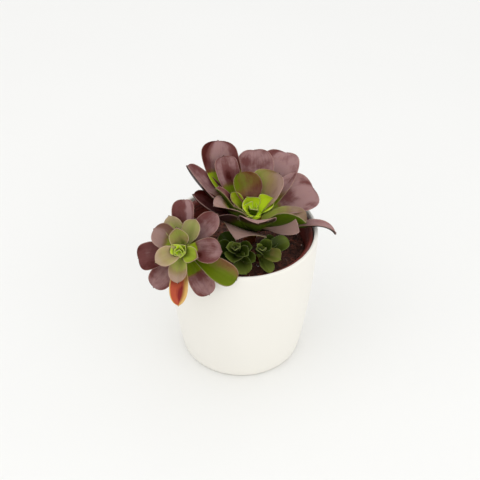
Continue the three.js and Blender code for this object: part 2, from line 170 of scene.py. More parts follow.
def turned(name, profile, sides):
    """A closed round solid: profile is (radius, height) in millimetres, from the foot's centre to the end."""
    (radius, height), *rest = [(r * MM, z * MM) for r, z in profile]
    made = add(bpy.ops.mesh.primitive_circle_add, vertices=sides, radius=radius,
               location=(0, 0, height), fill_type="NGON")
    bpy.ops.object.transform_apply(location=True, rotation=True, scale=True)
    made.name = made.data.name = name
    bpy.ops.object.mode_set(mode="EDIT")
    bpy.ops.mesh.select_all(action="SELECT")
    bpy.ops.mesh.region_to_loop()
    for next_radius, next_height in rest:
        bpy.ops.mesh.extrude_edges_move(
            TRANSFORM_OT_translate={"value": (0, 0, next_height - height)})
        share = next_radius / radius
        bpy.ops.transform.resize(value=(share, share, 1), center_override=(0, 0, next_height))
        radius, height = next_radius, next_height
    bpy.ops.mesh.edge_face_add()
    bpy.ops.mesh.select_all(action="SELECT")
    bpy.ops.mesh.normals_make_consistent(inside=False)
    bpy.ops.object.mode_set(mode="OBJECT")
    bpy.ops.object.shade_smooth_by_angle(angle=SHARP)
    return made


def arc(centre, radius, start, end, steps):
    """Points of an arc in the profile's plane, angles in degrees."""
    angles = [math.radians(start + (end - start) * i / steps) for i in range(steps + 1)]
    return [(centre[0] + radius * math.cos(a), centre[1] + radius * math.sin(a)) for a in angles]


def placed(detail, radius, height):
    """The points of a detail, given from the place where it sits."""
    return [(radius + out, height + up) for out, up in detail]


# %% [markdown]
# Where no tool of the hand gives the form, a mesh is treated as a table of points that numpy can move
# at once. The points can also carry numbers, such as how purple the leaf is there.

# %% Helpers for points
def points_of(mesh):
    flat = np.empty(len(mesh.vertices) * 3)
    mesh.vertices.foreach_get("co", flat)
    return flat.reshape(-1, 3)


def place_points(mesh, points):
    mesh.vertices.foreach_set("co", np.asarray(points, float).ravel())
    mesh.update()


def mark(mesh, name, values):
    """Keeps one number per point, for the material to read."""
    made = mesh.attributes.new(name, "FLOAT", "POINT")
    made.data.foreach_set("value", np.asarray(values, np.float32))


def mark_place(mesh, name, points):
    """Keeps one place per point, given in millimetres, for the material to read."""
    made = mesh.attributes.new(name, "FLOAT_VECTOR", "POINT")
    made.data.foreach_set("vector", (np.asarray(points) * MM).astype(np.float32).ravel())


# %% [markdown]
# ## Writing a finish
#
# A finish is a small network of nodes. Wire wraps one output, so that sums on it read as sums: the
# expression 1 - mask adds the Math node that computes it. Colours are mixed, never added up, because
# a Math node would turn them grey.

# %% Wires
def operator_pair(operation):
    """One of Python's operators and its reflected form, each adding one Math node."""
    def plain(self, other):
        return self.finish.node("Math", {"operation": operation}, {0: self, 1: other})

    def reflected(self, other):
        return self.finish.node("Math", {"operation": operation}, {0: other, 1: self})

    return plain, reflected


class Wire:
    """One output in a finish."""

    def __init__(self, finish, socket):
        self.finish, self.socket = finish, socket

    __add__, __radd__ = operator_pair("ADD")
    __sub__, __rsub__ = operator_pair("SUBTRACT")
    __mul__, __rmul__ = operator_pair("MULTIPLY")


# %% [markdown]
# Every node comes from one method, node, and the methods after it name the few that are used again and
# again. A socket that shares its name with another is picked by its place on the node.

# %% Finishes
ATTRIBUTE_PLACE, ATTRIBUTE_NUMBER, OBJECT_PLACE = 1, 2, 3
MIX_SHARE, MIX_FIRST, MIX_SECOND, MIX_COLOUR = 0, 6, 7, 2


class Finish:
    """A material under construction, with one principled shader."""

    def __init__(self, name, **constants):
        self.material = bpy.data.materials.new(name)
        self.material.use_nodes = True
        self.tree = self.material.node_tree
        self.shader = self.tree.nodes["Principled BSDF"]
        for socket, value in constants.items():
            self.shader.inputs[socket.replace("_", " ")].default_value = value

    def feed(self, socket, value):
        if isinstance(value, Wire):
            self.tree.links.new(value.socket, socket)
        else:
            socket.default_value = value

    def node(self, kind, settings=None, inputs=None, output=0):
        """Any node, from its type, its settings and the values or wires of its sockets."""
        made = self.tree.nodes.new("ShaderNode" + kind)
        for key, value in (settings or {}).items():
            setattr(made, key, value)
        for key, value in (inputs or {}).items():
            self.feed(made.inputs[key], value)
        return Wire(self, made.outputs[output])

    def mark(self, name, output=ATTRIBUTE_NUMBER):
        """What the points of the piece carry under this name."""
        return self.node("Attribute", {"attribute_name": name}, output=output)

    def stretched(self, place, scale):
        return self.node("Mapping", inputs={"Vector": place, "Scale": scale})

    def place(self, scale=(1, 1, 1)):
        return self.stretched(self.node("TexCoord", output=OBJECT_PLACE), scale)

    def noise(self, place, scale, detail=3.0, roughness=0.55):
        """Cloudy noise from 0 to 1, most of it near 0.5. Scale is how many lumps fit in a metre."""
        return self.node("TexNoise", inputs={
            "Vector": place, "Scale": scale, "Detail": detail, "Roughness": roughness})

    def step(self, value, low, high):
        """0 below low, 1 above high and smooth between them."""
        return self.node("MapRange", {"interpolation_type": "SMOOTHSTEP"}, {
            "Value": value, "From Min": low, "From Max": high})

    def mix(self, share, first, second):
        return self.node("Mix", {"data_type": "RGBA"}, {
            MIX_SHARE: share, MIX_FIRST: first, MIX_SECOND: second}, output=MIX_COLOUR)

    def bump(self, height, distance, strength, under=None):
        """Relief of a depth in metres, over another relief if one is given."""
        inputs = {"Height": height, "Distance": distance, "Strength": strength}
        if under:
            inputs["Normal"] = under
        return self.node("Bump", inputs=inputs)

    def done(self, colour, roughness, normal=None):
        self.feed(self.shader.inputs["Base Color"], colour)
        self.feed(self.shader.inputs["Roughness"], roughness)
        if normal:
            self.feed(self.shader.inputs["Normal"], normal)
        return self.material


def paint(red, green, blue):
    """A colour as a paint chart gives it, 0 to 255, in the light's own scale."""
    def linear(c):
        c /= 255
        return c / 12.92 if c <= 0.04045 else ((c + 0.055) / 1.055) ** 2.4
    return (linear(red), linear(green), linear(blue), 1)


# %% [markdown]
# ## The floor
#
# A studio table with a pale sheet on it. It isn't part of the plant: it only catches the light and
# the soft shadow, so a flat plane with a trace of unevenness in its colour is enough.

# %% Floor
FLOOR_SIZE = 6

floor = add(bpy.ops.mesh.primitive_plane_add, size=FLOOR_SIZE, location=(0, 0, 0))
floor.name = "floor"
sheet = Finish("pale_sheet")
cloudy = sheet.noise(sheet.place(), 3, 2)
floor.data.materials.append(sheet.done(
    sheet.mix(cloudy, paint(236, 236, 234), paint(240, 240, 238)), 0.7))

# %% [markdown]
# ## The cover pot
#
# On the real pot the wall is one convex curve from a small rounded foot to a plain, softly rounded
# lip. The curve is worked out from the foot and rim radius, and the pot is turned from it, outside
# first, over the lip and down the inside to the floor, with more rings where it bends more.

# %% Cover pot
COVER = dict(height=121.6, rim=62.5, foot=51.1, belly=1.9, foot_rounding=3, wall=3.1, lip=1.2, floor=5,
             corner=6)
MIDDLE_RINGS = (12, 30)  # radii, on the flat foot
FOOT_RINGS = [0.0, 0.1, 0.35, 0.75, 1.3, 2]  # heights, up the foot's rounding
OUTER_RINGS, INNER_RINGS, COVER_SIDES = 26, 20, 160
FLOOR_CORNER = [(-1, 2.5), (-3, 0.6), (-6, 0)]  # from where the wall meets the floor


def cover_radius(z):
    wall = COVER["foot"] + (COVER["rim"] - COVER["foot"]) * (1 - (1 - z / COVER["height"]) ** COVER["belly"])
    low = max(1 - z / COVER["foot_rounding"], 0)
    return wall - COVER["foot_rounding"] * (1 - math.sqrt(1 - low * low))


def evenly(start, end, steps):
    """Heights after the first one, from start to end."""
    return [start + (end - start) * i / steps for i in range(1, steps + 1)]


def cover_profile():
    wall, lip, floor = COVER["wall"], COVER["lip"], COVER["floor"]
    start, shoulder, corner = COVER["foot_rounding"], COVER["height"] - lip, floor + COVER["corner"]
    outer = FOOT_RINGS + [start] + evenly(start, shoulder, OUTER_RINGS)
    profile = [(r, 0) for r in MIDDLE_RINGS] + [(cover_radius(z), z) for z in outer]
    rim = cover_radius(shoulder)
    profile += arc((rim - lip, shoulder), lip, 0, 90, 6)[1:]
    profile += arc((rim - wall + lip, shoulder), lip, 90, 180, 6)
    profile += [(cover_radius(z) - wall, z) for z in evenly(shoulder, corner, INNER_RINGS)]
    profile += placed(FLOOR_CORNER, cover_radius(corner) - wall, floor)
    return profile + [(MIDDLE_RINGS[0], floor)]


cover_pot = turned("cover_pot_fine", cover_profile(), COVER_SIDES)

# %% [markdown]
# Its plastic is a warm white satin. Up close such a wall has a faint orange-peel from the mould, and
# the light finds slightly duller and slightly yellower patches in it. Three noises of different
# size give that, which no flat colour could.

# %% Satin white plastic
satin = Finish("satin_white_plastic", Coat_Weight=0.08, Coat_Roughness=0.2)
here = satin.place()
patches = satin.noise(here, 14, 3)
peel = satin.noise(here, 900, 2)
dust = satin.step(satin.noise(here, 260, 5, 0.7), 0.66, 0.82)
white = satin.mix(patches, paint(234, 231, 223), paint(239, 236, 228))
white = satin.mix(dust * 0.12, white, paint(190, 180, 165))
settle(cover_pot, "cover_pot",
       satin.done(white, 0.42 + patches * 0.1, satin.bump(peel, 0.00003, 0.35)))

# %% [markdown]
# ## The nursery pot
#
# A thin moulded pot of dark red plastic. What shows of it is the inside of its rim: a few rounded
# ribs that run round it and catch the light, dusted with peat. It is turned too, and its drain holes
# are cut by one boolean with all six drills in it.

# %% Nursery pot
GROW = dict(top=118.4, rim=58.6, reach=3.2, depth=9, base=43, wall=1.2, bottom=5.3, floor=1.6, middle=6,
            rim_rounding=0.5, rim_width=2.6)
RIM_FOOT = [(-1.2, 2), (-1.2, 0.3), (-0.9, 0), (-0.2, 0), (0, 0.4)]  # the lower edge of the rim
RIB_DROPS = (2.5, 6)  # how far below the top each rib is
RIB = dict(over=[(0, 1.2), (-0.1, 0.8)], under=[(-0.1, -1.5), (0, -1.9)], height=0.7, rounding=0.35)
DRAIN = dict(holes=6, radius=4, circle=30, depth=8, height=0.8)
WALL_HEIGHTS = (30, 60, 90)
GROW_SIDES = 128


def grow_inner(z):
    share = min(max((z - GROW["bottom"]) / (GROW["top"] - GROW["bottom"]), 0), 1)
    return GROW["base"] + (GROW["rim"] - GROW["reach"] - GROW["base"]) * share - GROW["wall"]


def rib_profile(z):
    inner, bead = grow_inner(z) + 1, RIB["rounding"]
    top = arc((inner - RIB["height"] + bead, z - bead), bead, 100, 260, 5)
    return placed(RIB["over"], inner, z) + top + placed(RIB["under"], inner, z)


def grow_profile():
    top, rim, bottom, wall = GROW["top"], GROW["rim"], GROW["bottom"], GROW["wall"]
    skirt, floor, bend = top - GROW["depth"], bottom + GROW["floor"], GROW["rim_rounding"]
    foot = grow_inner(bottom)
    profile = [(GROW["middle"], bottom), (foot + wall - 1, bottom), (foot + wall, bottom + 1)]
    profile += [(grow_inner(z) + wall, z) for z in (*WALL_HEIGHTS, skirt + 2)]
    profile += placed(RIM_FOOT, rim, skirt)
    profile += arc((rim - bend, top - bend), bend, 0, 90, 4)
    profile += arc((rim - GROW["rim_width"] + bend, top - bend), bend, 90, 180, 4)
    for drop in RIB_DROPS:
        profile += rib_profile(top - drop)
    profile += [(grow_inner(z), z) for z in (skirt - 2, WALL_HEIGHTS[1], floor + 2)]
    return profile + [(foot - 1.5, floor), (GROW["middle"], floor)]


def drill(i):
    """One of the cutters of the drain holes, which stand in a circle."""
    angle = 2 * math.pi * i / DRAIN["holes"]
    circle, height = DRAIN["circle"] * MM, (GROW["bottom"] + DRAIN["height"]) * MM
    return add(bpy.ops.mesh.primitive_cylinder_add, vertices=32, radius=DRAIN["radius"] * MM,
               depth=DRAIN["depth"] * MM,
               location=(circle * math.cos(angle), circle * math.sin(angle), height))


grow_pot = turned("nursery_pot_fine", grow_profile(), GROW_SIDES)
cutter = join("drain_cutter", [drill(i) for i in range(DRAIN["holes"])])
select([grow_pot])
drain = grow_pot.modifiers.new("drain", "BOOLEAN")
drain.operation = "DIFFERENCE"
drain.object = cutter
drain.solver = "EXACT"
bpy.ops.object.modifier_apply(modifier="drain")
bpy.data.objects.remove(cutter)

# %% [markdown]
# Moulded plastic has a fine grain and, after a season with a plant in it, smears that run round it
# and peat dust in patches. The dust is rougher than the plastic, so it takes the shine away.

# %% Dark red moulded plastic
moulded = Finish("dark_red_plastic")
here = moulded.place()
grain = moulded.noise(here, 1400, 3)
smear = moulded.noise(moulded.place((1, 1, 5)), 90, 4, 0.65)
red = moulded.mix(smear, paint(96, 32, 25), paint(126, 52, 40))
peat_dust = moulded.step(moulded.noise(here, 420, 5, 0.7), 0.52, 0.7)
red = moulded.mix(peat_dust * 0.55, red, paint(52, 27, 20))
settle(grow_pot, "grow_pot",
       moulded.done(red, 0.38 + peat_dust * 0.4, moulded.bump(grain, 0.00006, 0.4)))

# %% [markdown]
# ## The peat
#
# Damp peat settles into soft lumps. The body of it is turned like the pots, with close rings on top,
# and those are then lifted by a noise in code, because the lumps follow no profile.

# %% Peat
SOIL = dict(level=105, bottom=7.2, middle=8, edge_drop=2, crowding=1.3)
SOIL_RINGS, SOIL_SIDES = 60, 160
SOIL_EDGE = grow_inner(SOIL["level"] - 6) - 0.4  # a hair inside the nursery pot's wall
LUMP = 1.1  # height of the broad waves, each with its speed along x and y and its phase
WAVES = ((0.31, 0.12, 0.4), (-0.17, 0.29, 1.9), (0.08, -0.36, 3.1), (0.42, 0.33, 5.2))
RELIEF = dict(small=0.7, small_scale=0.22, fine=0.45, fine_scale=1.1)


def soil_height(x, y):
    """Height of the peat over a point, in millimetres, lumps and small relief together."""
    big = LUMP * sum(math.sin(u * x + v * y + phase) for u, v, phase in WAVES) / len(WAVES)
    drop = SOIL["edge_drop"] * (math.hypot(x, y) / SOIL_EDGE) ** 4
    small = RELIEF["small"] * noise.fractal(Vector((x, y, 3)) * RELIEF["small_scale"], 1, 2, 4)
    fine = RELIEF["fine"] * noise.noise(Vector((x, y, 7)) * RELIEF["fine_scale"])
    return SOIL["level"] + big - drop + small + fine


top_rings = [SOIL_EDGE * (1 - (i / SOIL_RINGS) ** SOIL["crowding"]) for i in range(SOIL_RINGS)]
profile = [(SOIL["middle"], SOIL["bottom"]), (grow_inner(SOIL["bottom"]) - 0.7, SOIL["bottom"])]
profile += [(r, SOIL["level"] - 1) for r in top_rings]
peat = turned("peat_fine", profile, SOIL_SIDES)
points = points_of(peat.data)
for i, (x, y, z) in enumerate(points / MM):
    if z > SOIL["level"] - 2:
        points[i][2] = soil_height(x, y) * MM
place_points(peat.data, points)
mark(peat.data, "tone", [0.2] * len(points))
print("peat edge:", round(SOIL_EDGE, 1), "mm")

# %% [markdown]
# Its surface is all crumbs, flat chips, a few pale grains and thin fibres. They are one small
# stone-like shape of 80 faces, copied, squashed and strewn, and each carries a tone that the finish
# reads. A bump alone would leave the peat's outline smooth where it meets the pot.

# %% Crumbs, chips, grains and fibres
STREWN = (  # how many, least and most size, squash, how deep it sinks as a share of its size, tone
    (620, (0.35, 1.3), (0.55, 1.0), 0.1, (0, 0.7)),
    (120, (0.9, 2.6), (0.16, 0.4), -0.1, (0.5, 1)),
    (16, (0.3, 0.75), (0.7, 1), -0.2, (2, 2)),
    (26, (1.4, 3.2), (0.05, 0.08), -0.15, (0.9, 1.7)),
)
SPIN, LEAN = 6.28, 0.7  # the most that a crumb is spun and tilted, in radians
CRUMB_SHARP = math.radians(60)
ROUGHNESS, ROUGH_SCALE = 0.35, 1.6


def strewn(blank, count, size, squash, sink, tone):
    """Copies of a small lump on the peat."""
    base = points_of(blank.data)
    copies = []
    for _ in range(count):
        angle, out = rng.uniform(0, 2 * math.pi), SOIL_EDGE * math.sqrt(rng.uniform(0, 0.98))
        x, y = out * math.cos(angle), out * math.sin(angle)
        radius = rng.uniform(*size)
        scale = np.array([radius, radius * rng.uniform(*squash), radius * rng.uniform(*squash)])
        turn = np.array(Matrix.Rotation(rng.uniform(0, SPIN), 3, "Z")
                        @ Matrix.Rotation(rng.uniform(-LEAN, LEAN), 3, "X"))
        seed = Vector((rng.uniform(0, 99), rng.uniform(0, 99), 0))
        rough = np.array([1 + ROUGHNESS * noise.noise(Vector(p) * ROUGH_SCALE + seed) for p in base])
        shape = (base * rough[:, None] * scale) @ turn.T
        made = copy_of(blank)
        place_points(made.data, (shape + [x, y, soil_height(x, y) - sink * radius]) * MM)
        mark(made.data, "tone", [rng.uniform(*tone)] * len(base))
        copies.append(made)
    return copies


crumb_blank = add(bpy.ops.mesh.primitive_ico_sphere_add, subdivisions=2, radius=1)
lumps = [peat]
for row in STREWN:
    lumps += strewn(crumb_blank, *row)
bpy.data.objects.remove(crumb_blank)
peat = join("peat_fine", lumps)
bpy.ops.object.shade_smooth_by_angle(angle=CRUMB_SHARP)

# %% [markdown]
# Damp peat is nearly black in its hollows and a warm brown on its dry crumbs. The tone of a crumb
# shifts where that change lies, and a tone over 1.2 is for what isn't brown: the pale grains and the
# palest fibres.

# %% Damp peat
damp = Finish("damp_peat")
here = damp.place()
tone = damp.mark("tone")
patch = damp.noise(here, 260, 5, 0.65)
grit = damp.noise(here, 1600, 4, 0.7)
brown = damp.mix(damp.step(patch + (tone - 0.3) * 0.5, 0.3, 0.8), paint(42, 19, 13), paint(128, 70, 50))
brown = damp.mix(damp.step(grit, 0.45, 0.75) * 0.5, brown, paint(136, 80, 60))
brown = damp.mix(damp.step(tone, 1.2, 1.8), brown, paint(214, 206, 198))
crumbly = damp.bump(grit, 0.0003, 0.8, under=damp.bump(patch, 0.0006, 0.6))
settle(peat, "soil", damp.done(brown, 0.85, crumbly))

# %% [markdown]
# ## One leaf
#
# An aeonium's leaf is a fleshy spoon: narrow and green at its foot, widest past the middle, blunt,
# with a small point at the tip and a thin margin set with fine hairs. It could be sculpted, but more
# than fifty of them have to follow the same growth, so one flat blank is modelled by hand, a fine
# sheet extruded twice into a closed blade, and each copy's points are then moved by one formula.

# %% Leaf blank
ACROSS, ALONG = 14, 26  # faces over the width and the length
CROWD_SIDES, CROWD_TIP = 0.4, 1.45  # how far points crowd together where the outline turns


def leaf_blank():
    blank = add(bpy.ops.mesh.primitive_grid_add, x_subdivisions=ACROSS, y_subdivisions=ALONG, size=2)
    bpy.ops.object.mode_set(mode="EDIT")
    bpy.ops.mesh.select_all(action="SELECT")
    for _ in range(2):
        bpy.ops.mesh.extrude_region_move(TRANSFORM_OT_translate={"value": (0, 0, -0.5)})
    bpy.ops.mesh.select_all(action="SELECT")
    bpy.ops.mesh.normals_make_consistent(inside=False)
    bpy.ops.object.mode_set(mode="OBJECT")
    bpy.ops.object.shade_smooth()
    return blank


blank = leaf_blank()
flat = points_of(blank.data)
blank_u, blank_v = flat[:, 0], (flat[:, 1] + 1) / 2
BLANK_T = (1 - CROWD_SIDES) * blank_u + CROWD_SIDES * np.sin(np.pi / 2 * blank_u)
BLANK_S = 1 - (1 - blank_v) ** CROWD_TIP
BLANK_DEPTH = -flat[:, 2]
print("leaf blank:", len(flat), "points, depths", sorted(set(np.round(BLANK_DEPTH, 2))))

# %% [markdown]
# ## The leaf's formula
#
# A point of the leaf is known by s, its share of the length, by t, from -1 at the right margin to 1 at
# the left one, and by its depth, from 0 on the upper face to 1 on the back. The midrib comes first: it
# rises at its pitch, curls up or droops at the tip, and sways to a side. It is summed up from short
# steps, because such a curve has no simpler formula.

# %% Midrib
DROOP_FROM, DROOP_POWER = 0.6, 1.5  # where on the leaf the tip begins to droop, and how suddenly
MIDRIB_STEPS = 120


def unit(v):
    return v / np.linalg.norm(v, axis=-1, keepdims=True)


def midrib(leaf):
    """Shares of the length, with the points and directions there, in the rosette's frame."""
    s = np.linspace(0, 1, MIDRIB_STEPS + 1)
    bend = np.clip((s - DROOP_FROM) / (1 - DROOP_FROM), 0, 1) ** DROOP_POWER
    pitch = np.radians(leaf["pitch"] + leaf["curl"] * s - leaf["droop"] * bend)
    heading = np.radians(leaf["azimuth"] + leaf["sway"] * s)
    level = np.cos(pitch)
    direction = np.stack([level * np.cos(heading), level * np.sin(heading), np.sin(pitch)], -1)
    step = (direction[1:] + direction[:-1]) / 2 * leaf["length"] / MIDRIB_STEPS
    azimuth = math.radians(leaf["azimuth"])
    centre_x, centre_y = leaf["centre"]
    root = [centre_x + leaf["root"] * math.cos(azimuth), centre_y + leaf["root"] * math.sin(azimuth),
            leaf["height"]]
    return s, np.vstack([[root], root + np.cumsum(step, 0)]), direction


def between(s, line, values):
    return np.stack([np.interp(s, line, values[:, k]) for k in range(3)], -1)


def stations(leaf, s):
    """The middle of the leaf at each s, and the directions forward, to the left and up there."""
    line, points, directions = midrib(leaf)
    forward = unit(between(s, line, directions))
    azimuth = math.radians(leaf["azimuth"])
    leftwards = np.array([-math.sin(azimuth), math.cos(azimuth), 0])
    left = unit(np.cross([0, 0, 1], forward))
    left = np.where((left @ leftwards)[:, None] < 0, -left, left)
    up = np.cross(forward, left)
    turn = np.radians(leaf["twist"]) * s
    cos, sin = np.cos(turn)[:, None], np.sin(turn)[:, None]
    return between(s, line, points), forward, left * cos + up * sin, up * cos - left * sin


# %% [markdown]
# Then the cross-section is laid over the midrib: the two halves fold up from the crease and cup
# towards the margin, the flesh thins out to the edge, a groove runs up the middle of the foot, and
# the margin ripples a little. The groove and the ripple are less than a millimetre deep, but without
# them the leaves look stamped from sheet.

# %% Blade
FOLD, FOLD_CREASE = (1.15, 0.7), 0.12  # share of the fold at foot and tip, and how round its crease is
CUP_FADE, CUP_SINK = 0.3, 0.15
FLESH, THINNEST, EDGE, EDGE_POWER = (1.25, 0.6), 0.9, 0.45, 2.2
GROOVE, GROOVE_WIDTH = 0.22, 0.09
POINT, POINT_FROM, POINT_WIDTH = 0.9, 0.9, 0.35
NOTCH_FROM, NOTCH_WIDTH = 0.72, 0.3
RIPPLE, RIPPLES, RIPPLE_SHIFT, RIPPLE_RISE = 0.5, 9, 1.7, (2.5, 0.6)
WOBBLE, WOBBLES = 0.025, 7
EDGE_BULGE = 0.2


def spoon(s, leaf):
    """Half the blade's width at a share s of its length, as a share of the widest."""
    foot, widest = leaf["foot"], leaf["widest"]
    low = foot + (1 - foot) * np.sin(np.pi / 2 * np.clip(s / widest, 0, 1)) ** leaf["taper"]
    beyond = np.clip((s - widest) / (1 - widest), 0, 1)
    return np.where(s < widest, low, np.maximum(1 - beyond ** leaf["blunt"], 0) ** leaf["rounding"])


def hollow(leaf, s, t, half, fold, wave):
    """How far the upper face stands over the midrib, from fold, cup and ripple."""
    away = (np.sqrt(t * t + FOLD_CREASE ** 2) - FOLD_CREASE) / (math.sqrt(1 + FOLD_CREASE ** 2) - FOLD_CREASE)
    rise = half * away * np.sin(fold) + leaf["cup"] * half * (t * t * (1 - CUP_FADE * s) - CUP_SINK)
    ripple = RIPPLE * np.abs(t) ** 3 * np.sin(wave + RIPPLES * s + RIPPLE_SHIFT * np.sign(t))
    return rise + ripple * np.clip(s * RIPPLE_RISE[0] - RIPPLE_RISE[1], 0, 1)


def blade(leaf, s, t, depth, waves):
    """Places of the points of one leaf, in the rosette's frame. Waves are two phases of its own."""
    centre, forward, left, up = stations(leaf, s)
    half = leaf["width"] / 2 * spoon(s, leaf)
    half = half * (1 + (leaf["lopsided"] + WOBBLE * np.sin(waves[0] + WOBBLES * s)) * np.sign(t))
    fold = np.radians(leaf["fold"]) * (FOLD[0] + (FOLD[1] - FOLD[0]) * s)
    rise = hollow(leaf, s, t, half, fold, waves[1])
    middle = np.maximum(leaf["thick"] * (FLESH[0] + (FLESH[1] - FLESH[0]) * s), THINNEST)
    thick = middle + (EDGE - middle) * np.abs(t) ** EDGE_POWER
    groove = GROOVE * np.exp(-(t / GROOVE_WIDTH) ** 2) * (1 - s) * (depth < 0.25)
    tip = np.clip((s - POINT_FROM) / (1 - POINT_FROM), 0, 1) ** 2 * np.exp(-(t / POINT_WIDTH) ** 2)
    notch = leaf["notch"] * np.exp(-((t - leaf["notch_at"]) / NOTCH_WIDTH) ** 2)
    reach = POINT * tip - notch * np.clip((s - NOTCH_FROM) / (1 - NOTCH_FROM), 0, 1)
    bulge = EDGE_BULGE * (depth * (1 - depth) * 4) * np.sign(t) * (np.abs(t) > 0.999)
    return (centre + forward * reach[:, None] + left * (half * t * np.cos(fold) + bulge)[:, None]
            + up * (rise - groove - thick * depth)[:, None])


# %% [markdown]
# ## The plants
#
# Leaves follow each other round a stem by the golden angle, from the heart outwards, and every value
# of a leaf goes from its young to its old one with age. The tables say where each stem grows and how
# this plant's leaves differ from the rule. The form of a leaf, lengths in millimetres:
#
# - azimuth, height, root and centre: where it leaves its stem; length, width and thick: its size
# - pitch: how it rises; curl: how it bends up; droop: how its tip falls; sway: turn to the left
# - twist: roll, left half up; fold and cup: its section; lopsided: how much wider its left half is
# - foot, widest, taper, blunt and rounding: its outline; notch and notch_at: a dent in its tip
#
# A leaf's colour is part of its growth too:
#
# - green: how far up from its foot the leaf stays green, and soft: how slowly it turns
# - lime: how fresh the green is; blush: purple over the green part; tilt: more of it on the left
# - heel: more of it low down, partly painted shade where the foot curves away; maroon: how dark the purple is
# - lean: darker on the left, a painted shade of the half turned from the light
# - flank: darker on both margins, partly the leaf's own and partly a painted sheen that keeps the middle
#   light
# - dusk: darker towards the tip; rim_dark: darker along the margins; pale: how pale the margin is
# - milk: how pale and creamy it is, partly painted light on leaves that lie in shade; under: where its back
#   turns dark
# - ember: the orange of a dying leaf
# - spots: dark patches, some of them bruises and some painted shade where a leaf's surface turns away, each
#   with its place along and across, its reach and how dark it is

# %% What every leaf starts from
GOLDEN_ANGLE = 137.5
# powers of the age: a value below 1 changes soonest near the heart
PACE = dict(length=0.55, width=0.55, pitch=0.65, curl=0.65, green=0.5, lime=0.6)
PLAIN = dict(twist=0, sway=0, widest=0.66, blunt=2.6, rounding=0.53, taper=1.8, lopsided=0, centre=(0, 0),
             notch=0, notch_at=0)
PLAIN_COLOUR = dict(ember=0, milk=0, blush=0, tilt=0, heel_and_shade=0, shaded_half=0, flank_and_sheen=0, dusk=0, rim_dark=0.2,
                    pale=0.25, under=0.45, spots=())


def form(azimuth, length, width, pitch, **rest):
    """The values of a leaf's form that differ from the rule, the four commonest without their names."""
    return dict(azimuth=azimuth, length=length, width=width, pitch=pitch, **rest)


# %% [markdown]
# ## The main rosette
#
# It is the oldest and largest: a cup of broad purple leaves round a lime heart, some of them long
# gone, so the numbers of those are missing. It stands upright on a short thick stem.

